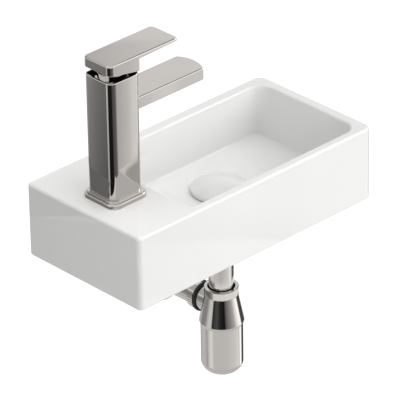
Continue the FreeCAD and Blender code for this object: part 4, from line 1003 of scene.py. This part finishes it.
@dataclass(frozen=True)
class Cloth:
    """An upright arc of studio cloth that only mirrors see, grey by the direction in which it hangs.

    Directions are in degrees from +X towards +Y, and a grey of 1 is as bright as the white surroundings.
    Within a rise of its lower edge the cloth loses light, by the share given as fall at the edge itself.
    Light that a mirror throws on a matt surface is that of the white surroundings, as if the cloth were not
    there.
    """

    name: str
    axis: Vector
    radius: float
    low: float
    high: float
    greys: tuple[tuple[float, float], ...]
    fall: float = 0.0
    rise: float = 0.1
    steps: int = 96

    def build(self) -> None:
        """Sweep the cloth round its axis and paint it."""
        first, last = self.greys[0][0], self.greys[-1][0]
        cloth = outline(self.name, [(self.radius, self.low), (self.radius, self.high)])
        bpy.ops.mesh.select_all(action="SELECT")
        bpy.ops.mesh.spin(steps=self.steps, angle=math.radians(first - last), center=(0.0, 0.0, 0.0), axis=UP)
        rest()
        cloth.location = (self.axis.x, self.axis.y, 0.0)
        cloth.rotation_euler = (0.0, 0.0, math.radians(first))
        material = blank_material(self.name)
        self.paint(material.node_tree)
        cloth.data.materials.append(material)
        only_mirrors(cloth)

    def paint(self, tree: Tree) -> None:
        """Add the nodes that give the cloth its greys.

        Args:
            tree: the empty node tree of its material.
        """
        first, last = self.greys[0][0], self.greys[-1][0]
        place = add(tree, "ShaderNodeTexCoord").outputs["Object"]
        axes = add(tree, "ShaderNodeSeparateXYZ", {"Vector": place}).outputs
        turn = add(tree, "ShaderNodeMath", {0: axes["Y"], 1: axes["X"]}, operation="ARCTAN2").outputs[0]
        whole = add(tree, "ShaderNodeMath", {0: turn, 1: math.tau, 2: 0.0}, operation="WRAP").outputs[0]
        share = add(tree, "ShaderNodeMath", {0: whole, 1: math.radians(last - first)},
                    operation="DIVIDE").outputs[0]
        ramp = add(tree, "ShaderNodeValToRGB", {"Fac": share})
        stops = ramp.color_ramp.elements
        for azimuth, _ in self.greys[1:-1]:
            stops.new((azimuth - first) / (last - first))
        for stop, (_, grey) in zip(stops, self.greys):
            stop.color = (grey, grey, grey, 1.0)
        strength = add(tree, "ShaderNodeMapRange",
                       {"Value": axes["Z"], "From Min": self.low, "From Max": self.low + self.rise,
                        "To Min": 1.0 - self.fall, "To Max": 1.0}).outputs["Result"]
        bounces = add(tree, "ShaderNodeLightPath").outputs["Diffuse Depth"]
        bounced = add(tree, "ShaderNodeMath", {0: bounces, 1: 1.0}, operation="MINIMUM").outputs[0]
        shade = add(tree, "ShaderNodeMix", {0: bounced, 6: ramp.outputs["Color"], 7: WHITE},
                    data_type="RGBA").outputs[2]
        glow = add(tree, "ShaderNodeEmission", {"Color": shade, "Strength": strength}).outputs["Emission"]
        add(tree, "ShaderNodeOutputMaterial", {"Surface": glow})


@dataclass(frozen=True)
class Card:
    """A flat card that only mirrors see, from its front, even or lighter towards one end."""

    name: str
    centre: Point
    faces: Point
    size: tuple[float, float]
    grey: float
    lighter: float = 0.0

    def build(self) -> None:
        """Hang the card and paint it."""
        rest()
        bpy.ops.mesh.primitive_plane_add(size=1.0)
        card = bpy.context.object
        card.name = self.name
        card.scale = (*self.size, 1.0)
        card.rotation_euler = Vector(self.faces).to_track_quat("Z", "Y").to_euler()
        card.location = self.centre
        material = blank_material(self.name)
        tree = material.node_tree
        place = add(tree, "ShaderNodeTexCoord").outputs["Object"]
        along = add(tree, "ShaderNodeSeparateXYZ", {"Vector": place}).outputs["X"]
        # In its own coordinates the card runs half a unit to each side.
        grey = add(tree, "ShaderNodeMapRange",
                   {"Value": along, "From Min": -0.5, "From Max": 0.5,
                    "To Min": self.grey, "To Max": self.grey + self.lighter}).outputs["Result"]
        one_sided(tree, add(tree, "ShaderNodeEmission", {"Strength": grey}).outputs["Emission"])
        card.data.materials.append(material)
        only_mirrors(card)


@dataclass(frozen=True)
class Lamp:
    """A soft square lamp that looks at the object and that no mirror shows."""

    name: str
    towards: Point
    distance: float
    size: float
    watts: float
    aim: Point = (0.0, -0.1, 0.05)
    spread_deg: float = 180.0

    def build(self) -> None:
        """Hang the lamp, at its distance from the point that it looks at."""
        data = bpy.data.lights.new(self.name, "AREA")
        data.size = self.size
        data.energy = self.watts
        data.spread = math.radians(self.spread_deg)
        lamp = bpy.data.objects.new(self.name, data)
        lamp.visible_glossy = False
        bpy.context.scene.collection.objects.link(lamp)
        way = Vector(self.towards).normalized()
        lamp.location = Vector(self.aim) + way * self.distance
        lamp.rotation_euler = way.to_track_quat("Z", "Y").to_euler()
        log.info("hung %s", self.name)


@dataclass
class Studio:
    """White surroundings, a pale floor, soft lamps, screens for the mirrors and the camera.

    The trap's cloths hang one above the other, and their bands are given by the heights of their edges.
    """

    ambient: float = 0.55
    floor_z: float = -0.80
    floor_size: float = 16.0
    floor_grey: float = 0.55
    floor_glow: float = 0.65
    lamps: tuple[Lamp, ...] = (
        Lamp("key_lamp", (0.52, -0.48, 0.72), 6.0, 8.4, 264.0),
        Lamp("front_lamp", (-0.24, -0.97, 0.05), 6.0, 3.0, 124.0),
        Lamp("ledge_lamp", (-0.10, 0.05, 0.99), 0.50, 0.30, 0.12, aim=(-0.17, -0.08, 0.10), spread_deg=70.0),
    )
    tap_cloth_r: float = 0.50
    tap_cloth_span: tuple[float, float] = (-0.18, 0.08)
    trap_cloth_r: float = 0.60
    trap_cloth_bands: tuple[float, ...] = (-0.66, -0.47, -0.445, -0.37, -0.165)
    card_lift: float = 0.6 * MM
    ledge_shade_card_lift: float = 14.4 * MM
    right_cards_x: float = 0.635
    eye: Point = (-2.9263, -3.1820, 2.3849)
    azimuth_deg: float = -43.474
    elevation_deg: float = 29.076
    roll_deg: float = -1.011
    lens_mm: float = 353.4
    sensor_mm: float = 36.0
    sight: float = 50.0

    def build(self) -> None:
        """Set up the studio."""
        self.build_world()
        self.build_floor()
        for fitting in (*self.lamps, *self.tap_cloths(), *self.trap_cloths(), *self.cards()):
            fitting.build()
        self.build_camera()

    def tap_cloths(self) -> list[Cloth]:
        """List the cloths round the tap.

        Returns:
            The one that its left face shows, and the one that its front face shows.
        """
        ring = (middle("tap_base_plate"), self.tap_cloth_r, *self.tap_cloth_span)
        return [
            Cloth("tap_left_cloth", *ring,
                  ((46, 0.62), (100, 0.60), (118, 0.50), (128, 0.42), (133, 0.33), (142, 0.24), (146, 0.27),
                   (151, 1.0), (167, 0.9), (174, 0.02), (228, 0.02)), fall=0.45, rise=0.26),
            Cloth("tap_front_cloth", *ring,
                  ((228, 0.02), (239, 0.11), (284, 0.18), (299, 0.50), (306, 0.74), (311, 0.85), (315, 1.05),
                   (317, 1.10), (319, 0.98), (324, 1.0), (326, 1.2), (346, 1.2), (350, 0.04), (406, 0.04)),
                  fall=0.5, rise=0.05),
        ]

    def trap_cloths(self) -> list[Cloth]:
        """List the cloths round the trap.

        Returns:
            Those that the trap's cup, outlet, tube and cone show.
        """
        ring = (middle("waste_body"), self.trap_cloth_r)
        foot, cup, outlet, tube, cone = self.trap_cloth_bands
        return [
            Cloth("cone_cloth", *ring, tube, cone,
                  ((45, 0.40), (80, 0.50), (115, 0.36), (136, 0.38), (158, 0.95), (172, 0.95), (178, 0.03),
                   (200, 0.11), (218, 0.03), (241, 0.01), (247, 0.16), (269, 0.39), (280, 0.51), (291, 0.70),
                   (303, 1.2), (317, 1.6), (332, 1.8), (337, 0.10), (405, 0.08))),
            Cloth("tube_cloth", *ring, outlet, tube,
                  ((46, 0.55), (92, 0.62), (116, 0.75), (128, 1.05), (146, 1.08), (158, 0.90), (190, 0.84),
                   (224, 0.74), (256, 0.88), (288, 1.0), (302, 1.2), (310, 1.45), (318, 1.45), (326, 1.1),
                   (338, 0.6), (346, 0.10), (406, 0.10))),
            Cloth("outlet_cloth", *ring, cup, outlet,
                  ((80, 0.30), (115, 0.20), (145, 0.20), (170, 0.60))),
            Cloth("cup_cloth", *ring, foot, cup,
                  ((45, 0.10), (60, 0.12), (76, 0.60), (88, 0.70), (120, 0.82), (138, 0.57), (160, 1.12),
                   (170, 1.12), (182, 0.84), (250, 0.86), (303, 1.0), (322, 1.15), (327, 1.1), (331, 0.45),
                   (335, 1.7), (351, 1.7), (356, 0.08), (400, 0.10))),
        ]

    def cards(self) -> list[Card]:
        """List the flat cards.

        Returns:
            Large ones round the object, then small ones close to the ledge, whose painted shade and painted
            reflection show in the tap's chrome, and one under the lever, whose painted light shows in the
            collar.
        """
        right = self.right_cards_x
        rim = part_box("basin")[1].z
        ledge = rim + self.card_lift
        return [
            Card("under_card", (0.03, -0.10, -0.72), UP, (1.3, 1.3), 0.80),
            Card("dark_edge_card", (right, 0.02, 1.10), LEFT, (0.86, 0.44), 0.03),
            Card("bright_edge_card", (right, -0.90, 0.62), LEFT, (0.62, 0.90), 1.5),
            Card("bowl_edge_card", (right, -0.4175, 0.63), LEFT, (0.335, 0.46), 4.5),
            Card("plate_card", (-0.09, 0.45, 0.73), FRONT, (0.56, 0.14), 0.03),
            Card("left_edge_card", (-0.45, 0.50, 0.68), FRONT, (1.00, 0.75), 0.62),
            Card("lever_card", (0.4425, 0.514, 0.73), (-0.604, -0.635, -0.481), (0.17, 0.08), 0.67,
                 lighter=0.35),
            # Painted shade: dark sheets on and just above the ledge round the tap's foot, seen only in the
            # chrome, where they paint the ledge's shade by the base plate.
            Card("ledge_shade_card", (-0.186, -0.057, rim + self.ledge_shade_card_lift), UP, (0.028, 0.094), 0.20),
            Card("foot_shade_card", (-0.1882, -0.076, ledge), UP, (0.017, 0.056), 0.20),
            Card("plate_side_shade_card", (-0.1770, -0.090, ledge), UP, (0.005, 0.080), 0.28),
            # Painted reflection: a grey sheet on the ledge in front of the tap, seen only in the tap's
            # chrome, where it paints a darker reflection of the ledge.
            Card("front_ledge_reflection_card", (-0.1410, -0.163, ledge), UP, (0.070, 0.064), 0.70),
            # Painted light: a pale sheet at the pocket's left wall under the lever, seen only in the chrome
            # collar, where it paints a light reflection.
            Card("pocket_light_card", (-0.1670, -0.096, 0.2480), RIGHT, (0.036, 0.009), 0.80),
        ]

    def build_world(self) -> None:
        """White where it is seen, and a plain grey level as a light."""
        scene = bpy.context.scene
        scene.view_settings.view_transform = "Standard"
        scene.world = bpy.data.worlds.new("studio")
        scene.world.use_nodes = True
        tree = scene.world.node_tree
        tree.nodes.clear()
        strength = add(tree, "ShaderNodeMapRange",
                       {"Value": seen(tree), "To Min": self.ambient, "To Max": 1.0}).outputs["Result"]
        glow = add(tree, "ShaderNodeBackground", {"Color": WHITE, "Strength": strength}).outputs["Background"]
        add(tree, "ShaderNodeOutputWorld", {"Surface": glow})

    def build_floor(self) -> None:
        """A pale floor that keeps the shadow, white where it is lit, and clear from below."""
        rest()
        bpy.ops.mesh.primitive_plane_add(size=self.floor_size, location=(0.0, 0.0, self.floor_z))
        floor = bpy.context.object
        floor.name = "floor"
        material = blank_material("pale_floor")
        tree = material.node_tree
        grey = (self.floor_grey, self.floor_grey, self.floor_grey, 1.0)
        matt = add(tree, "ShaderNodeBsdfDiffuse", {"Color": grey}).outputs["BSDF"]
        level = add(tree, "ShaderNodeMath", {0: seen(tree), 1: self.floor_glow},
                    operation="MULTIPLY").outputs[0]
        glow = add(tree, "ShaderNodeEmission", {"Strength": level}).outputs["Emission"]
        one_sided(tree, add(tree, "ShaderNodeAddShader", {0: matt, 1: glow}).outputs["Shader"])
        floor.data.materials.append(material)

    def build_camera(self) -> None:
        """Stand a long lens where the photograph was taken from."""
        data = bpy.data.cameras.new("camera")
        data.lens = self.lens_mm
        data.sensor_width = self.sensor_mm
        data.clip_end = self.sight
        camera = bpy.data.objects.new("camera", data)
        bpy.context.scene.collection.objects.link(camera)
        turn = Matrix.Rotation(math.radians(self.azimuth_deg), 4, "Z")
        tilt = Matrix.Rotation(math.radians(90.0 - self.elevation_deg), 4, "X")
        roll = Matrix.Rotation(math.radians(self.roll_deg), 4, "Z")
        camera.matrix_world = Matrix.Translation(Vector(self.eye)) @ turn @ tilt @ roll
        bpy.context.scene.camera = camera


def main() -> None:
    """Load the solids, dress them, build the finer pieces and set up the studio."""
    logging.basicConfig(level=logging.INFO, format="%(message)s")
    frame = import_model()
    for group in (Basin(frame), Tap(frame), TapFixings(frame), Waste(frame), Trap(frame)):
        group.dress()
        group.build()
    Studio().build()
    rest()


if __name__ == "__main__":
    main()
